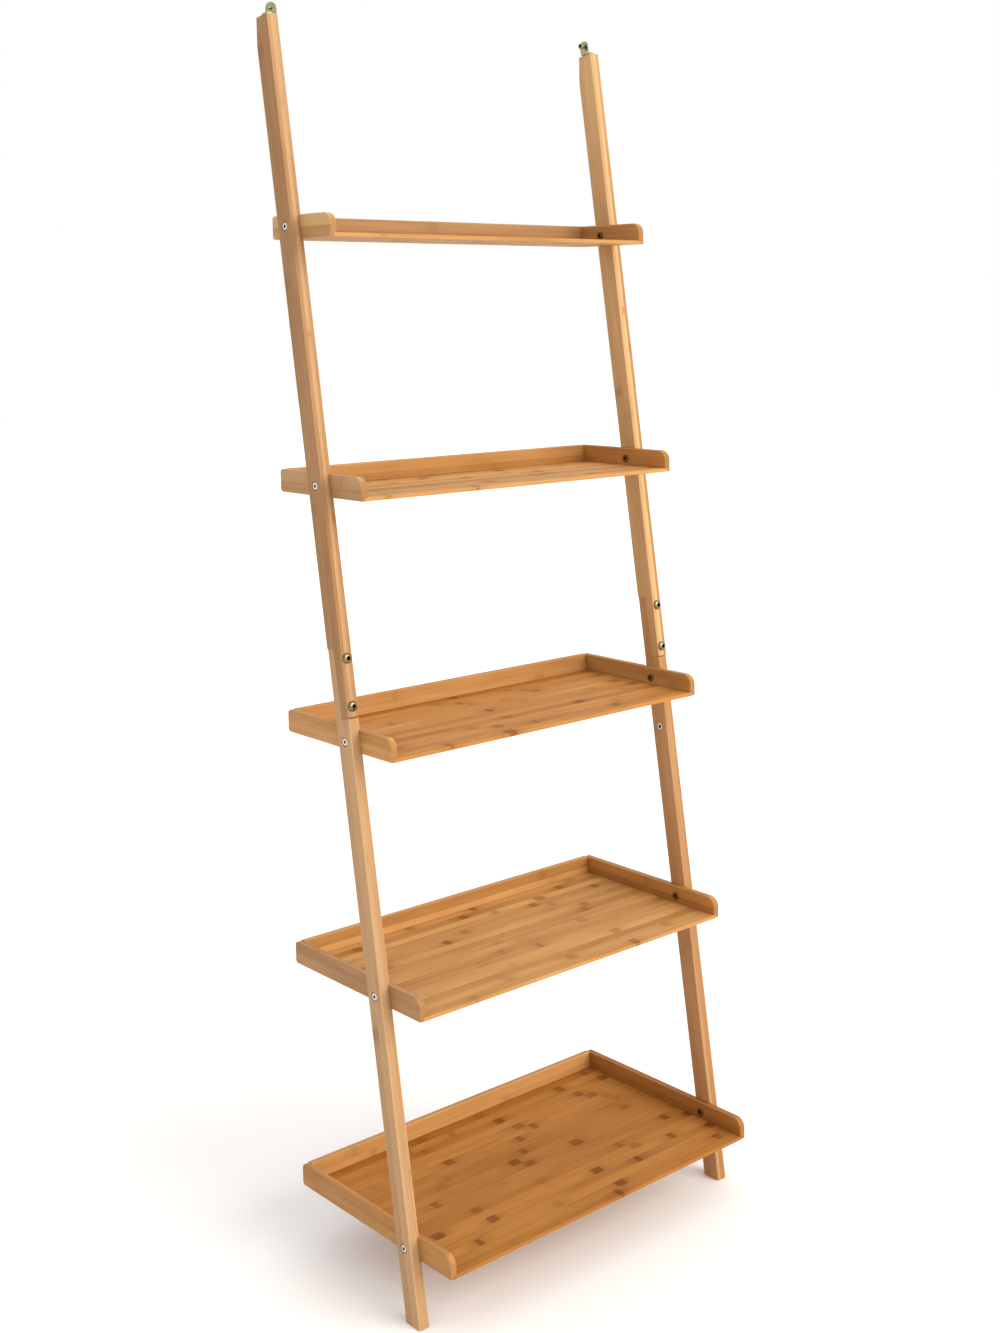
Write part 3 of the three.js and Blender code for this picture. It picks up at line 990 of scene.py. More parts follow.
@dataclass
class Fasteners:
    """The patterns that all bolts, nuts and screws are copied from.

    Every pattern stands on the origin with its axis along Z and its head up. A flush
    fastener has its outer face at height 0, and a standing head rests on height 0.
    """

    bolt_head: float = 5.2 * MM
    bolt_head_height: float = 2.2 * MM
    bolt_shank: float = 2.9 * MM
    bolt_length: float = 19.6 * MM
    bolt_taper: float = 0.8 * MM
    flange: float = 6.0 * MM
    flange_height: float = 1.5 * MM
    sleeve: float = 4.2 * MM
    sleeve_bore: float = 3.2 * MM
    sleeve_web: float = 3.5 * MM
    sleeve_length: float = 17.7 * MM
    dome: float = 7.0 * MM
    dome_height: float = 4.0 * MM
    dome_steps: int = 7
    dome_shank_length: float = 25.8 * MM
    hex_corner: float = 2.6 * MM
    hex_depth: float = 3.2 * MM
    nut_hex_depth: float = 2.2 * MM
    lap_hex_corner: float = 3.3 * MM
    insert: float = 4.7 * MM
    insert_length: float = 12.0 * MM
    insert_mouth: float = 3.4 * MM
    insert_bore: float = 2.4 * MM
    wood_screw: PanScrew = PanScrew(3.8 * MM, 2.4 * MM, 20 * MM)
    small_screw: PanScrew = PanScrew(4.5 * MM, 3.2 * MM, 12 * MM)
    pan_shank: float = 2.0 * MM
    pan_point: float = 2.5 * MM
    cross_depth: float = 1.2 * MM
    cross_bar: float = 0.5 * MM
    patterns: dict[str, Piece] = field(default_factory=dict)

    def make(self) -> None:
        """Models one of each kind."""
        self.patterns["bolt"] = self._bolt()
        self.patterns["sleeve_nut"] = self._sleeve_nut()
        self.patterns["lap_screw"] = self._lap_screw()
        self.patterns["insert_nut"] = self._insert_nut()
        self.patterns["wood_screw"] = self._pan_screw("wood_screw_pattern", self.wood_screw)
        self.patterns["small_screw"] = self._pan_screw("small_screw_pattern", self.small_screw)

    def put(self, kind: str, name: str, place: Matrix) -> Piece:
        """A copy of a pattern, in its place."""
        return Workbench.copy(self.patterns[kind], name, place)

    def clear_patterns(self) -> None:
        """Removes the patterns once all are copied."""
        for pattern in self.patterns.values():
            Workbench.discard(pattern)
        self.patterns.clear()

    @staticmethod
    def _sink_hex(piece: Piece, top: float, depth: float, corner: float, bore: float = 0.0) -> None:
        """Cuts a hexagonal socket into a head and finishes the fastener.

        Args:
            piece: The fastener.
            top: Height of the head's face.
            depth: How deep the socket goes.
            corner: Half of its width across the corners.
            bore: How deep the whole recess is, where the socket leads on into a bore.
        """
        Workbench.cut(piece, Workbench.rod("key", corner, top - depth, top + MM, 6))
        Workbench.polish(piece)
        mark_recess(piece, top, bore or depth, corner)

    def _sink_cross(self, piece: Piece, top: float, reach: float) -> None:
        """Cuts a cross recess into a head.

        Args:
            piece: The fastener.
            top: Height of the head's top.
            reach: Half of the cross's width.
        """
        for turn in (0.0, QUARTER):
            low = Vector((-reach, -self.cross_bar, top - self.cross_depth))
            high = Vector((reach, self.cross_bar, top + MM))
            bar = Workbench.block("key", low, high, Euler((0, 0, turn)))
            Workbench.ease_edges(bar, 0.3 * MM, 2, lambda edge: all(v.co.z < top for v in edge.verts))
            Workbench.cut(piece, bar)

    @staticmethod
    def _shank(piece: Piece, inset: float, length: float, tip: float) -> None:
        """Draws a shank out of a head's underside and tapers its end.

        Args:
            piece: The head, its underside facing down.
            inset: How much smaller the shank's radius is than the head's.
            length: The shank's length under the head.
            tip: How long the taper is.
        """
        Workbench.select_lowest(piece)
        Workbench.rim(inset, tip - length)
        Workbench.rim(0, -tip)
        bpy.ops.transform.resize(value=(0.6, 0.6, 1))
        Workbench.leave()

    def _bolt(self) -> Piece:
        """A flat-headed bolt with a hexagonal socket.

        Returns:
            The pattern.
        """
        piece = Workbench.rod("bolt_pattern", self.bolt_head, -self.bolt_head_height, 0)
        Workbench.ease_edges(piece, 0.5 * MM, 3, is_head_rim)
        length = self.bolt_length - self.bolt_head_height
        self._shank(piece, self.bolt_head - self.bolt_shank, length, self.bolt_taper)
        self._sink_hex(piece, 0, self.hex_depth, self.hex_corner)
        return piece

    def _sleeve_nut(self) -> Piece:
        """A flanged nut with a hexagonal socket in front and a bored sleeve behind.

        Returns:
            The pattern.
        """
        piece = Workbench.rod("sleeve_nut_pattern", self.flange, -self.flange_height, 0)
        Workbench.ease_edges(piece, 0.45 * MM, 3, is_head_rim)
        Workbench.select_lowest(piece)
        Workbench.rim(self.flange - self.sleeve, self.flange_height - self.sleeve_length)
        Workbench.rim(self.sleeve - self.sleeve_bore, self.sleeve_length - self.sleeve_web)
        Workbench.leave()
        self._sink_hex(piece, 0, self.nut_hex_depth, self.hex_corner)
        return piece

    def _lap_screw(self) -> Piece:
        """A dome-headed screw with a hexagonal socket.

        Returns:
            The pattern.
        """
        radius = self.dome
        height = self.dome_height * 0.2
        piece = Workbench.rod("lap_screw_pattern", radius, 0, height, 48)
        Workbench.select(piece, Part.FACE, lambda face: face.normal.z > 0.9)
        for step in range(1, self.dome_steps):
            angle = step / self.dome_steps * QUARTER
            next_radius = self.dome * math.cos(angle)
            next_height = self.dome_height * (0.2 + 0.8 * math.sin(angle))
            Workbench.draw_out((0, 0, next_height - height))
            bpy.ops.transform.resize(value=(next_radius / radius, next_radius / radius, 1))
            radius, height = next_radius, next_height
        Workbench.leave()
        self._shank(piece, self.dome - self.bolt_shank, self.dome_shank_length, self.bolt_taper)
        self._sink_hex(piece, height, self.hex_depth, self.lap_hex_corner)
        return piece

    def _insert_nut(self) -> Piece:
        """An insert nut with a hexagonal mouth.

        Returns:
            The pattern.
        """
        length = self.insert_length
        piece = Workbench.rod("insert_nut_pattern", self.insert, -length, 0)
        Workbench.ease_edges(piece, 0.4 * MM, 2, is_head_rim)
        Workbench.cut(piece, Workbench.rod("bore", self.insert_bore, -length - MM, MM))
        self._sink_hex(piece, 0, length / 2, self.insert_mouth, bore=length)
        return piece

    def _pan_screw(self, name: str, size: PanScrew) -> Piece:
        """A pan-headed screw with a cross recess and a point.

        Args:
            name: The pattern's name.
            size: Its sizes.

        Returns:
            The pattern.
        """
        head, height = size.head, size.height
        piece = Workbench.rod(name, head, 0, height)
        Workbench.ease_edges(
            piece,
            height * 0.6,
            5,
            lambda edge: is_sharp(edge) and min(v.co.z for v in edge.verts) > height * 0.9,
        )
        self._shank(piece, head - self.pan_shank, size.length, self.pan_point)
        Workbench.select_lowest(piece)
        bpy.ops.transform.resize(value=(0.15, 0.15, 1))
        Workbench.leave()
        reach = head * 0.55
        self._sink_cross(piece, height, reach)
        Workbench.polish(piece)
        mark_recess(piece, height + 0.15 * MM, 1.3 * MM, reach)
        return piece


# ---- Rails ----------------------------------------------------------------------------------
@dataclass
class RailLine:
    """Where the leaning rails run, seen from the side.

    Attributes:
        lean: Their angle off the vertical.
        foot: Y of the rear edge at the floor.
        depth: Their depth, square to their length.
        length: Their length along the rear edge.
        lap_low: Where the lap joint starts, along the rail.
        lap_high: Where it ends.
        lap_screws: Where its screws are.
        spare: Where the spare insert nut is.
        gap: What is left between pieces that touch.
    """

    lean: float
    foot: float = -91.5 * MM
    depth: float = 31.5 * MM
    length: float = 1774 * MM
    lap_low: float = 825 * MM
    lap_high: float = 920 * MM
    lap_screws: Range = (841 * MM, 906 * MM)
    spare: float = 715 * MM
    gap: float = 0.3 * MM

    @property
    def way(self) -> Vector:
        """The direction up along the rails."""
        return Vector((0, math.sin(self.lean), math.cos(self.lean)))

    @property
    def front(self) -> Vector:
        """The direction out of the rails' front faces."""
        return Vector((0, -math.cos(self.lean), math.sin(self.lean)))

    def at(self, x: float, along: float, forward: float) -> Vector:
        """The point at an X, so far up the rail and so far in front of its rear edge."""
        return Vector((x, self.foot, 0)) + along * self.way + forward * self.front

    def measured(self, point: Vector) -> tuple[float, float]:
        """How far up the rail a point is, and how far forward as a share of the depth."""
        out = point - self.at(0, 0, 0)
        return out.dot(self.way), out.dot(self.front) / self.depth

    def turned(self, x: float, along: float, forward: float) -> Matrix:
        """Where a piece goes whose head looks out of a rail's front face."""
        turn = Matrix.Rotation(QUARTER - self.lean, 4, "X")
        return Matrix.Translation(self.at(x, along, forward)) @ turn

    def slab(self, name: str, width: Range, along: Range, forward: Range) -> Piece:
        """A block that leans as the rails do.

        Args:
            name: Its name.
            width: Its lower and higher X.
            along: Where it starts and ends, up the rail.
            forward: Where it starts and ends, in front of the rear edge.

        Returns:
            The block.
        """
        middle = self.at(sum(width) / 2, sum(along) / 2, sum(forward) / 2)
        half = Vector((width[1] - width[0], forward[1] - forward[0], along[1] - along[0])) / 2
        return Workbench.block(name, middle - half, middle + half, Euler((-self.lean, 0, 0)))


@dataclass
class Rail:
    """One side rail, in two lengths that lap and are screwed together.

    Attributes:
        side: Which side it is on.
        line: Where it runs.
        rounding: How far its long edges are rounded.
        bore: Radius of the holes that screws pass through.
        counterbore: Radius of the recess around a tray bolt's head.
        counterbore_depth: Depth of that recess.
        sleeve_hole: Radius of the hole that a sleeve nut reaches into.
        sleeve_reach: How far that hole goes in from the tray's side.
        spare_hole: Radius of the spare insert nut's hole.
        spare_depth: Depth of that hole.
        tongue_radius: Rounding of the upper length's lower end.
        lap_easing: How far the edges that meet in the lap are eased.
        overrun: How far a cut goes past what it cuts.
    """

    side: Side
    line: RailLine
    rounding: float = 2.4 * MM
    bore: float = 3.2 * MM
    counterbore: float = 6.5 * MM
    counterbore_depth: float = 2.7 * MM
    sleeve_hole: float = 4.5 * MM
    sleeve_reach: float = 6.5 * MM
    spare_hole: float = 5 * MM
    spare_depth: float = 12.4 * MM
    tongue_radius: float = 3.5 * MM
    lap_easing: float = 0.7 * MM
    overrun: float = 5 * MM

    @property
    def width(self) -> Range:
        """The rail's lower and higher X."""
        low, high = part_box(f"{self.side.label}_upper_rail")
        return low.x, high.x

    @property
    def faces(self) -> Range:
        """X of the rail's inner face and of its outer face."""
        return self.width if self.side is Side.RIGHT else self.width[::-1]

    def build(self, trays: list["Tray"]) -> None:
        """Makes both lengths and cuts them for the trays.

        Args:
            trays: The shelf's trays, from the top down.
        """
        left = self.side is Side.LEFT
        grain = Grain(along=self.line.way, across=self.line.front, stack=X_AXIS)
        origin = self.line.at(self.width[0], 0, 0)
        # The rails' shades are partly the cane's own tone and partly painted light: the left rails get the
        # paler, bluer TAN for the cool light on their outer faces.
        upper = (self._upper(), trays[:2], 3.1 if left else 5.3, Shade.TAN if left else Shade.STRAW)
        lower = (self._lower(), trays[2:], 7.7 if left else 9.9, Shade.TAN if left else Shade.CARAMEL)
        for part, (piece, crossed, seed, shade) in (("upper", upper), ("lower", lower)):
            for tray in crossed:
                self._cut_for(piece, tray)
            knots = Knots(strength=0.6, spacing=0.31)
            bamboo = Bamboo(grain, origin, seed, shade, knots, 15.75 * MM, 17.0 / 3 * MM, contrast=1.0)
            install_board(piece, f"{self.side.label}_{part}_rail", bamboo)

    def _round(self, piece: Piece) -> None:
        """Rounds the long edges at the front and rear faces, then eases the lap's edges.

        Args:
            piece: One of the two lengths.
        """
        line = self.line

        def outer(edge: Edge) -> bool:
            """Says whether an edge is a long one at the front or the rear.

            Args:
                edge: An edge of the length.

            Returns:
                Whether it is rounded.
            """
            across = line.measured(edge.verts[0].co)[1]
            return runs_along(edge, line.way) and is_sharp(edge) and not 0.1 < across < 0.9

        def meeting(edge: Edge) -> bool:
            """Says whether an edge is one of those that show the joint as a fine groove.

            Args:
                edge: An edge of the length.

            Returns:
                Whether it is eased.
            """
            if len(edge.link_faces) != 2 or not edge.is_convex or edge.calc_face_angle(0) < math.radians(60):
                return False
            for vertex in edge.verts:
                along, across = line.measured(vertex.co)
                if not (0.4 < across < 0.6 and line.lap_low - 2 * MM < along < line.lap_high + 2 * MM):
                    return False
            return True

        Workbench.ease_edges(piece, self.rounding, 4, outer)
        Workbench.ease_edges(piece, self.lap_easing, 2, meeting)

    def _cut_lap(self, piece: Piece, along: Range, forward: Range) -> None:
        """Takes half of a length's depth away over a stretch of it.

        Args:
            piece: The length.
            along: Where the stretch starts and ends.
            forward: Where the half starts and ends.
        """
        low, high = self.width
        Workbench.cut(piece, self.line.slab("lap", (low - 2 * MM, high + 2 * MM), along, forward))

    def _upper(self) -> Piece:
        """The upper length: a tongue at its lower end, and its top end cut upright for the wall.

        Returns:
            The length, without its tray cuts.
        """
        line = self.line
        label = self.side.label
        ends = (line.lap_low, line.length)
        piece = line.slab(f"{label}_upper_length", self.width, ends, (0, line.depth))
        stretch = (line.lap_low - self.overrun, line.lap_high + line.gap / 2)
        self._cut_lap(piece, stretch, (-self.overrun, line.depth / 2 + line.gap / 2))
        Workbench.ease_edges(
            piece,
            self.tongue_radius,
            5,
            lambda edge: runs_along(edge, X_AXIS)
            and is_sharp(edge)
            and all(abs(line.measured(v.co)[0] - line.lap_low) < MM for v in edge.verts),
        )
        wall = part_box(f"{label}_upper_rail")[1].y
        Workbench.slice_off(piece, Vector((0, wall, 0)), Y_AXIS)
        self._round(piece)
        for along in line.lap_screws:
            place = line.turned(sum(self.width) / 2, along, line.depth)
            Workbench.cut(piece, Workbench.rod("hole", self.bore, -20 * MM, MM, place=place))
        return piece

    def _lower(self) -> Piece:
        """The lower length: a tongue at its upper end, and its foot cut level.

        Returns:
            The length, without its tray cuts.
        """
        line = self.line
        ends = (-20 * MM, line.lap_high - line.gap / 2)
        piece = line.slab(f"{self.side.label}_lower_length", self.width, ends, (0, line.depth))
        stretch = (line.lap_low - line.gap, line.lap_high + self.overrun)
        self._cut_lap(piece, stretch, (line.depth / 2 - line.gap / 2, line.depth + self.overrun))
        Workbench.slice_off(piece, Vector((0, 0, 0)), -Z_AXIS)
        self._round(piece)
        hole = Workbench.rod("hole", self.spare_hole, -self.spare_depth, MM, place=self._spare_place())
        Workbench.cut(piece, hole)
        return piece

    def _spare_place(self) -> Matrix:
        """Where the spare insert nut goes, its mouth looking at the shelf's middle.

        Returns:
            The place.
        """
        line = self.line
        mouth = line.at(self.faces[0], line.spare, line.depth / 2)
        return Matrix.Translation(mouth) @ Matrix.Rotation(-self.side.value * QUARTER, 4, "Y")

    def _cut_for(self, piece: Piece, tray: "Tray") -> None:
        """Cuts the dado, the recess and the stepped hole for one tray.

        Args:
            piece: One of the two lengths.
            tray: The tray.
        """
        sign = self.side.value
        inner, outer = self.faces
        board_low, board_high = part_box(f"tray_{tray.number}_{self.side.label}_board")
        face = board_high.x if self.side is Side.RIGHT else board_low.x
        ends = sorted((inner - sign * MM, face + sign * self.line.gap))
        low = Vector((ends[0], board_low.y - 10 * self.overrun, board_low.z - self.line.gap))
        high = Vector((ends[1], board_high.y + 10 * self.overrun, board_high.z + self.line.gap))
        Workbench.cut(piece, Workbench.block("dado", low, high))
        centre = tray.bolt_place(self.side)
        for radius, near, far in (
            (self.counterbore, outer - sign * self.counterbore_depth, outer + sign * MM),
            (self.sleeve_hole, inner - sign * MM, face + sign * self.sleeve_reach),
            (self.bore, inner, outer + sign * MM),
        ):
            start = Matrix.Translation((min(near, far), centre.y, centre.z))
            place = start @ Matrix.Rotation(QUARTER, 4, "Y")
            Workbench.cut(piece, Workbench.rod("hole", radius, 0, abs(far - near), place=place))

    def fit_lap(self, fasteners: Fasteners, metals: Hardware) -> None:
        """Adds the lap joint's screws, and the spare insert nut under it.

        Args:
            fasteners: The patterns.
            metals: Their materials.
        """
        line = self.line
        for count, along in enumerate(line.lap_screws, 1):
            name = f"{self.side.label}_lap_screw_{count}"
            place = line.turned(sum(self.width) / 2, along, line.depth + line.gap)
            screw = fasteners.put("lap_screw", f"{name}_head_and_shank", place)
            install(screw, name, "shelf", metals.brass)
        name = f"{self.side.label}_insert_nut"
        nut = fasteners.put("insert_nut", f"{name}_ring", self._spare_place())
        install(nut, name, "shelf", metals.steel)


# ---- Trays ----------------------------------------------------------------------------------
SIDE_GRAIN = Grain(along=Y_AXIS, across=Z_AXIS, stack=X_AXIS)
BACK_GRAIN = Grain(along=X_AXIS, across=Z_AXIS, stack=Y_AXIS)
PANEL_GRAIN = Grain(along=X_AXIS, across=Y_AXIS, stack=Z_AXIS)


@dataclass
class Tray:
    """One tray: a bottom panel in a rabbet of its back board and two side boards.

    Attributes:
        number: Its number, from the top down.
        left: The shade of its left side board, partly the cane's own tone and partly painted light.
        right: The shade of its right side board, partly the cane's own tone and partly painted shade.
        back: The shade of its back board, partly the cane's own tone and partly painted light.
        panel: The shade of its bottom panel, partly the cane's own tone and partly painted light.
        front_radius: Rounding of a side board's top front corner.
        rear_radius: Rounding of its rear corners.
        low_radius: Rounding of its bottom front corner.
        easing: How far the boards' long edges are eased.
        panel_easing: How far the panel's edges are eased.
        rabbet: Depth of the rabbet, with its gap.
        rabbet_height: Height of the rabbet, with its gap.
        rabbet_past: How far the rabbet goes on past the panel's rear edge.
        nut_hole: Radius of the hole for a sleeve nut.
    """

    number: int
    left: Shade
    right: Shade
    back: Shade
    panel: Shade
    front_radius: float = 15 * MM
    rear_radius: float = 5 * MM
    low_radius: float = 2 * MM
    easing: float = 1.7 * MM
    panel_easing: float = 0.7 * MM
    rabbet: float = 5.3 * MM
    rabbet_height: float = 5.8 * MM
    rabbet_past: float = 0.6 * MM
    nut_hole: float = 4.5 * MM

    def bolt_place(self, side: Side) -> Vector:
        """The middle of the bolt on one side."""
        return sum(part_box(f"tray_{self.number}_{side.label}_bolt"), Vector()) / 2

    def build(self, fasteners: Fasteners, metals: Hardware) -> None:
        """Makes the boards, the panel, the bolts and the nuts.

        Args:
            fasteners: The patterns.
            metals: Their materials.
        """
        for side in Side:
            self._side_board(side)
            self._fit_bolt(side, fasteners, metals)
        self._back_board()
        self._panel()

    def _cut_rabbet(self, piece: Piece, low: Vector, high: Vector, ends: Range) -> None:
        """Cuts the rabbet that the panel lies in.

        Args:
            piece: A board.
            low: Its lowest corner.
            high: Its highest corner.
            ends: The rabbet's lower and higher X.
        """
        start = Vector((ends[0], low.y - MM, low.z - MM))
        rear = high.y - self.rabbet + self.rabbet_past
        end = Vector((ends[1], rear, low.z + self.rabbet_height))
        Workbench.cut(piece, Workbench.block("rabbet", start, end))

    def _side_board(self, side: Side) -> None:
        """A side board with rounded corners, a rabbet for the panel and a nut hole.

        Args:
            side: Which side it is on.
        """
        node = f"tray_{self.number}_{side.label}_board"
        low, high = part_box(node)
        piece = Workbench.block(f"tray_{self.number}_{side.label}_side", low, high)

        def corner(y: float, z: float) -> Callable[[Edge], bool]:
            """Makes the rule for the edge that runs across the board at one of its corners.

            Args:
                y: The corner's Y.
                z: Its height.

            Returns:
                The rule.
            """
            return lambda edge: (
                runs_along(edge, X_AXIS)
                and abs(edge.verts[0].co.y - y) < 10 * TOUCHING
                and abs(edge.verts[0].co.z - z) < 10 * TOUCHING
            )

        Workbench.ease_edges(piece, self.front_radius, 10, corner(low.y, high.z))
        Workbench.ease_edges(piece, self.low_radius, 3, corner(low.y, low.z))
        Workbench.ease_edges(piece, self.rear_radius, 5, corner(high.y, high.z))
        Workbench.ease_edges(piece, self.rear_radius, 5, corner(high.y, low.z))
        Workbench.ease_edges(
            piece, self.easing, 3, lambda edge: not runs_along(edge, X_AXIS) and is_sharp(edge)
        )
        inner = low.x if side is Side.RIGHT else high.x
        ends = sorted((inner - side.value * MM, inner + side.value * self.rabbet))
        self._cut_rabbet(piece, low, high, ends)
        bolt = self.bolt_place(side)
        middle = Matrix.Translation(((low.x + high.x) / 2, bolt.y, bolt.z))
        place = middle @ Matrix.Rotation(QUARTER, 4, "Y")
        Workbench.cut(piece, Workbench.rod("hole", self.nut_hole, -15 * MM, 15 * MM, place=place))
        seed = 11.0 + self.number * 1.7 + side.value * 0.6
        shade = self.left if side is Side.LEFT else self.right
        install_board(piece, node, Bamboo(SIDE_GRAIN, low, seed, shade, Knots(0.45, 0.26)))

    def _back_board(self) -> None:
        """The back board, between the side boards."""
        node = f"tray_{self.number}_back_board"
        low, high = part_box(node)
        middle = (low.z + high.z) / 2
        piece = Workbench.block(f"tray_{self.number}_back", low, high)
        Workbench.ease_edges(
            piece, self.easing, 3, lambda edge: runs_along(edge, X_AXIS) and edge.verts[0].co.z > middle
        )
        self._cut_rabbet(piece, low, high, (low.x - MM, high.x + MM))
        seed = 31.0 + self.number * 2.3
        install_board(piece, node, Bamboo(BACK_GRAIN, low, seed, self.back, Knots(0.4, 0.24)))

    def _panel(self) -> None:
        """The bottom panel of strips that run across the shelf."""
        node = f"tray_{self.number}_bottom_panel"
        low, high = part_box(node)
        middle = (low.y + high.y) / 2
        piece = Workbench.block(f"tray_{self.number}_panel", low, high)
        Workbench.ease_edges(
            piece, self.panel_easing, 2, lambda edge: runs_along(edge, X_AXIS) and edge.verts[0].co.y < middle
        )
        bamboo = Bamboo(
            PANEL_GRAIN,
            low - 0.2 * MM * Z_AXIS,
            51.0 + self.number * 3.1,
            self.panel,
            Knots(1.0, 0.17),
            strip=17 * MM,
            layer=6 * MM,
            contrast=0.65,
            sheen=0.05,
        )
        install_board(piece, node, bamboo)

    def _fit_bolt(self, side: Side, fasteners: Fasteners, metals: Hardware) -> None:
        """Adds the bolt in the rail's recess, and the nut on the board's inner face.

        Args:
            side: Which side they are on.
            fasteners: The patterns.
            metals: Their materials.
        """
        start = f"tray_{self.number}_{side.label}"
        for kind, slot, metal, outward in (
            ("bolt", "steel", metals.steel, side.value),
            ("sleeve_nut", "brass", metals.dull_brass, -side.value),
        ):
            node = f"{start}_{kind}"
            low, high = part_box(node)
            face = high.x if outward > 0 else low.x
            seat = Matrix.Translation((face, (low.y + high.y) / 2, (low.z + high.z) / 2))
            place = seat @ Matrix.Rotation(outward * QUARTER, 4, "Y")
            install(fasteners.put(kind, f"{node}_turned", place), node, "shelf", metal)


# ---- Top brackets ---------------------------------------------------------------------------
@dataclass
class TopBracket:
    """A sheet-metal angle that turns on the screw in a rail's top end.

    Attributes:
        side: Which side it is on.
        line: Where the rails run.
        turn: How far it is turned from facing the wall.
        width: Its width.
        sheet: Its thickness.
        height: Height of its upright.
        reach: Distance from its pivot to its outer face.
        hole: Radius of its holes.
        hole_height: Height of the upright's hole.
        bend: Rounding of its outer bend.
        stand_off: Distance of the small screw's head from the upright.
    """

    side: Side
    line: RailLine
    turn: float
    width: float = 16 * MM
    sheet: float = 2 * MM
    height: float = 20.5 * MM
    reach: float = 11.4 * MM
    hole: float = 2.3 * MM
    hole_height: float = 12 * MM
    bend: float = 1.6 * MM
    stand_off: float = 5.5 * MM

    def build(self, fasteners: Fasteners, metals: Hardware, pivot: Vector) -> None:
        """Makes the angle and its two screws.

        Args:
            fasteners: The patterns.
            metals: Their materials.
            pivot: The middle of the screw, on the rail's top end.
        """
        seat = Matrix.Translation(pivot) @ Matrix.Rotation(-self.line.lean, 4, "X")
        turned = seat @ Matrix.Rotation(self.turn, 4, "Z") @ Matrix.Translation((0, 0, self.line.gap))
        label = self.side.label
        body = f"{label}_bracket"
        angle = self._angle(f"{label}_angle")
        angle.data.transform(turned)
        install(angle, f"{label}_top_bracket", body, metals.yellow_zinc)
        small = turned @ Matrix.Translation((0, self.reach + self.stand_off, self.hole_height))
        small = small @ Matrix.Rotation(-QUARTER, 4, "X")
        piece = fasteners.put("small_screw", f"{label}_small_screw", small)
        install(piece, f"{label}_bracket_small_screw", body, metals.grey_steel)
        wood = seat @ Matrix.Translation((0, 0, 2 * self.line.gap + self.sheet))
        piece = fasteners.put("wood_screw", f"{label}_wood_screw", wood)
        install(piece, f"{label}_bracket_wood_screw", "shelf", metals.yellow_zinc)

    def _angle(self, name: str) -> Piece:
        """The angle, lying on height 0 and turning about the Z axis.

        Args:
            name: Its name.

        Returns:
            The angle.
        """
        half = self.width / 2
        bend_start = self.reach - self.sheet
        piece = Workbench.block(name, Vector((-half, -half, 0)), Vector((half, bend_start, self.sheet)))
        Workbench.select(piece, Part.FACE, lambda face: face.normal.y > 0.9)
        Workbench.draw_out((0, self.sheet, 0))
        Workbench.leave()
        Workbench.select(
            piece, Part.FACE, lambda face: face.normal.z > 0.9 and face.calc_center_median().y > bend_start
        )
        Workbench.draw_out((0, 0, self.height - self.sheet))
        Workbench.leave()
        Workbench.ease_edges(
            piece,
            half - 0.01 * MM,
            12,
            lambda edge: (runs_along(edge, Z_AXIS) and edge.verts[0].co.y < 0)
            or (runs_along(edge, Y_AXIS) and min(v.co.z for v in edge.verts) > self.height * 0.9),
        )
        Workbench.ease_edges(
            piece,
            self.bend,
            4,
            lambda edge: runs_along(edge, X_AXIS)
            and all(v.co.z < TOUCHING and v.co.y > self.reach - TOUCHING for v in edge.verts),
        )
        Workbench.ease_edges(piece, 0.3 * MM, 2, is_sharp)
        Workbench.cut(piece, Workbench.rod("hole", self.hole, -MM, self.sheet + MM))
        upright = Matrix.Translation((0, self.reach, self.hole_height))
        place = upright @ Matrix.Rotation(QUARTER, 4, "X")
        Workbench.cut(piece, Workbench.rod("hole", self.hole, -4 * MM, 4 * MM, place=place))
        Workbench.polish(piece)
        return piece


# ---- The shelf ------------------------------------------------------------------------------
@dataclass
class LadderShelf:
    """The whole shelf.

    Attributes:
        left_turn: How far the left bracket is turned from facing the wall.
        right_turn: How far the right bracket is.
    """

    left_turn: float = math.radians(-63)
    right_turn: float = math.radians(97)

    @staticmethod
    def trays() -> list[Tray]:
        """The five trays from the top down, each with the shades of its boards, partly cane tone and partly
        painted light.

        Returns:
            The trays.
        """
        return [
            Tray(1, left=Shade.STRAW, right=Shade.HONEY, back=Shade.TAN, panel=Shade.HONEY),
            Tray(2, left=Shade.TAN, right=Shade.AMBER, back=Shade.HONEY, panel=Shade.HONEY),
            Tray(3, left=Shade.HONEY, right=Shade.HONEY, back=Shade.HONEY, panel=Shade.AMBER),
            Tray(4, left=Shade.TAN, right=Shade.AMBER, back=Shade.HONEY, panel=Shade.HONEY),
            Tray(5, left=Shade.HONEY, right=Shade.RUSSET, back=Shade.HONEY, panel=Shade.RUSSET),
        ]

    def build(self) -> None:
        """Makes every sub-assembly in order."""
        swivels = {joint["name"]: joint for joint in frame["joints"]}
        axis = Vector(swivels["left_bracket_swivel"]["axis"])
        line = RailLine(lean=math.atan2(axis.y, axis.z))
        metals = Hardware.made()
        fasteners = Fasteners()
        fasteners.make()
        trays = self.trays()
        for tray in trays:
            tray.build(fasteners, metals)
        for side, turn in ((Side.LEFT, self.left_turn), (Side.RIGHT, self.right_turn)):
            rail = Rail(side, line)
            rail.build(trays)
            rail.fit_lap(fasteners, metals)
            pivot = Vector(swivels[f"{side.label}_bracket_swivel"]["pos_m"])
            TopBracket(side, line, turn).build(fasteners, metals, pivot)
        fasteners.clear_patterns()
        self._dress_hidden(metals)

    @staticmethod
    def _dress_hidden(metals: Hardware) -> None:
        """Gives the inserts inside the lap joints, kept from the frame, their brass.

        Args:
            metals: The metals.
        """
        for name, node in frame["nodes"].items():
            if "lap_insert" in name:
                node.data.materials.clear()
                node.data.materials.append(metals.dull_brass)


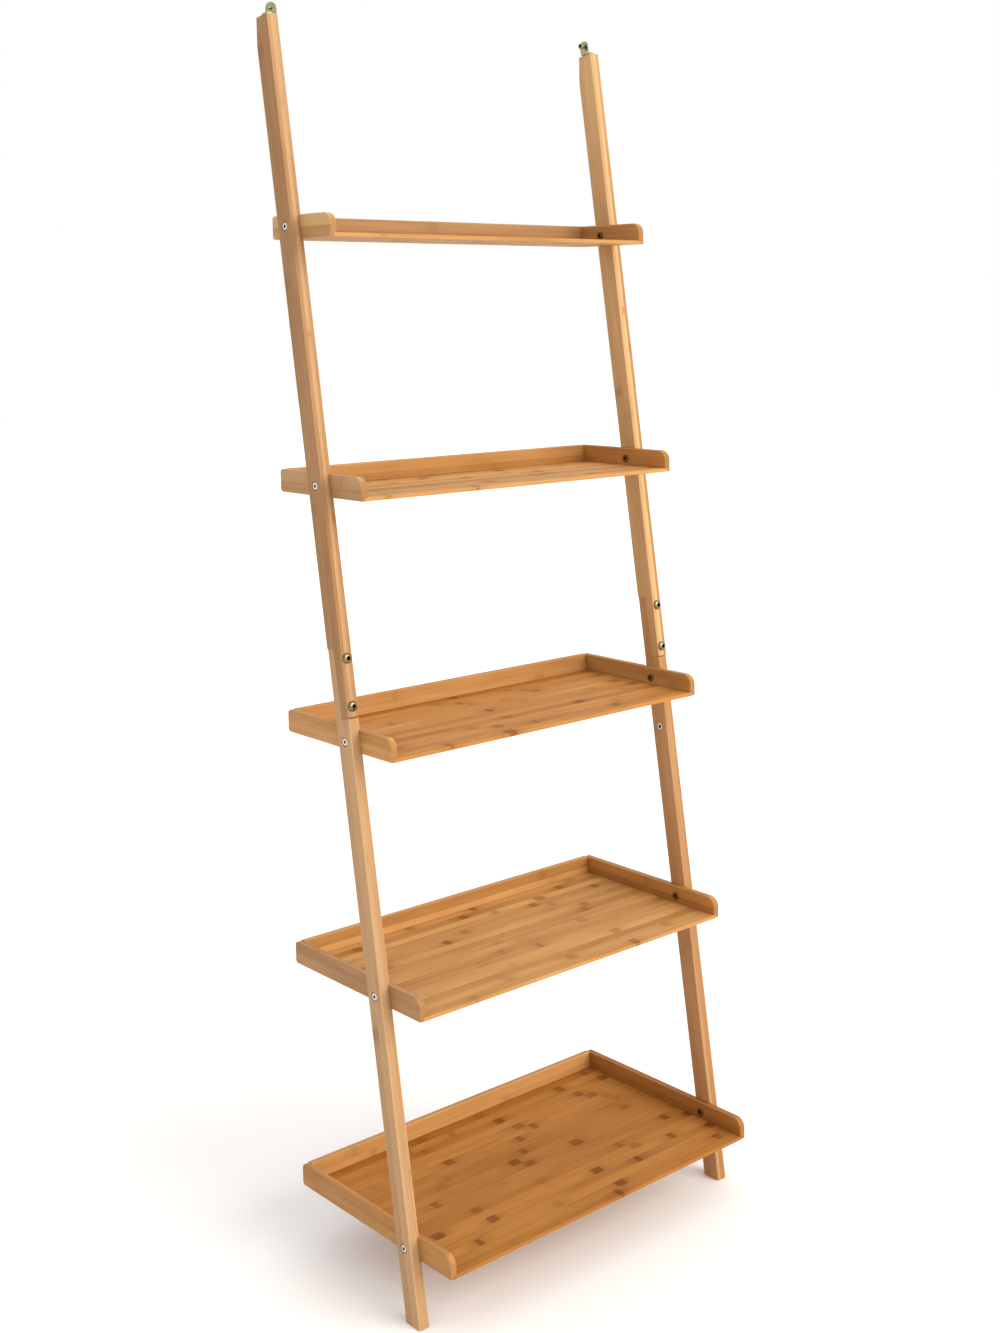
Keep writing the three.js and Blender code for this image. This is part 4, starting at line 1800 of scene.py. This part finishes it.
# ---- Studio ---------------------------------------------------------------------------------
@dataclass
class Studio:
    """The floor, the lights and the camera.

    Attributes:
        eye: The camera's place.
        heading: Where it looks, in degrees from +Y towards +X.
        dip: How far below the horizon it looks, in degrees.
        tilt: How far it is rolled, in degrees.
        lens: Its focal length, in millimetres on a 36 mm sensor.
        shift: How far the picture is shifted, as a share of its longer side.
        floor_size: The floor's width and depth.
        floor_height: Height of the floor, just under the feet.
        sun_from: The direction that the key light comes from.
        sun_strength: Its strength, in watts per square metre.
        sun_spread: How wide it looks, in degrees.
        sun_colour: Its colour.
    """

    eye: tuple[float, float, float] = (-1.5892, -1.8747, 1.3609)
    heading: float = 42.506
    dip: float = 7.220
    tilt: float = -0.557
    lens: float = 46.508
    shift: Range = (-0.0647, -0.1041)
    floor_size: float = 40.0
    floor_height: float = -0.5 * MM
    sun_from: tuple[float, float, float] = (0.35, -1.0, 0.52)
    sun_strength: float = 2.6
    sun_spread: float = 50.0
    sun_colour: Colour = (1.0, 0.95, 0.86)

    def build(self) -> None:
        """Sets everything up."""
        self._camera()
        self._world()
        self._floor()
        self._sun()
        bpy.context.scene.view_settings.view_transform = "Standard"
        bpy.context.scene.view_settings.look = "None"

    def _camera(self) -> None:
        """The camera, at its place and angle."""
        data = bpy.data.cameras.new("camera")
        data.lens = self.lens
        data.sensor_width = 36
        data.sensor_fit = "AUTO"
        data.shift_x, data.shift_y = self.shift
        data.clip_end = 100
        data.dof.use_dof = False
        camera = bpy.data.objects.new("camera", data)
        bpy.context.scene.collection.objects.link(camera)
        turn = (
            Matrix.Rotation(math.radians(-self.heading), 4, "Z")
            @ Matrix.Rotation(math.radians(90 - self.dip), 4, "X")
            @ Matrix.Rotation(math.radians(self.tilt), 4, "Z")
        )
        camera.matrix_world = Matrix.Translation(self.eye) @ turn
        bpy.context.scene.camera = camera

    @staticmethod
    def _world() -> None:
        """An even white surround."""
        world = bpy.data.worlds.new("surround")
        bpy.context.scene.world = world
        world.use_nodes = True
        background = world.node_tree.nodes["Background"]
        background.inputs["Color"].default_value = (1, 1, 1, 1)
        background.inputs["Strength"].default_value = 1.0

    def _floor(self) -> None:
        """A plain pale floor."""
        Workbench.clear()
        bpy.ops.mesh.primitive_plane_add(size=self.floor_size, location=(0, 0, self.floor_height))
        floor = Workbench.settle("floor")
        floor.data.materials.append(PlainFloor().material())

    def _sun(self) -> None:
        """The key light, soft and equally strong from foot to top."""
        data = bpy.data.lights.new("key", "SUN")
        data.energy = self.sun_strength
        data.angle = math.radians(self.sun_spread)
        data.color = self.sun_colour
        source = Vector(self.sun_from)
        light = bpy.data.objects.new("key", data)
        light.location = source * 4
        light.rotation_euler = (-source).to_track_quat("-Z", "Y").to_euler()
        bpy.context.scene.collection.objects.link(light)


def main() -> None:
    """Builds the studio and the shelf."""
    logging.basicConfig(level=logging.INFO, format="%(message)s")
    Studio().build()
    LadderShelf().build()


if __name__ == "__main__":
    main()
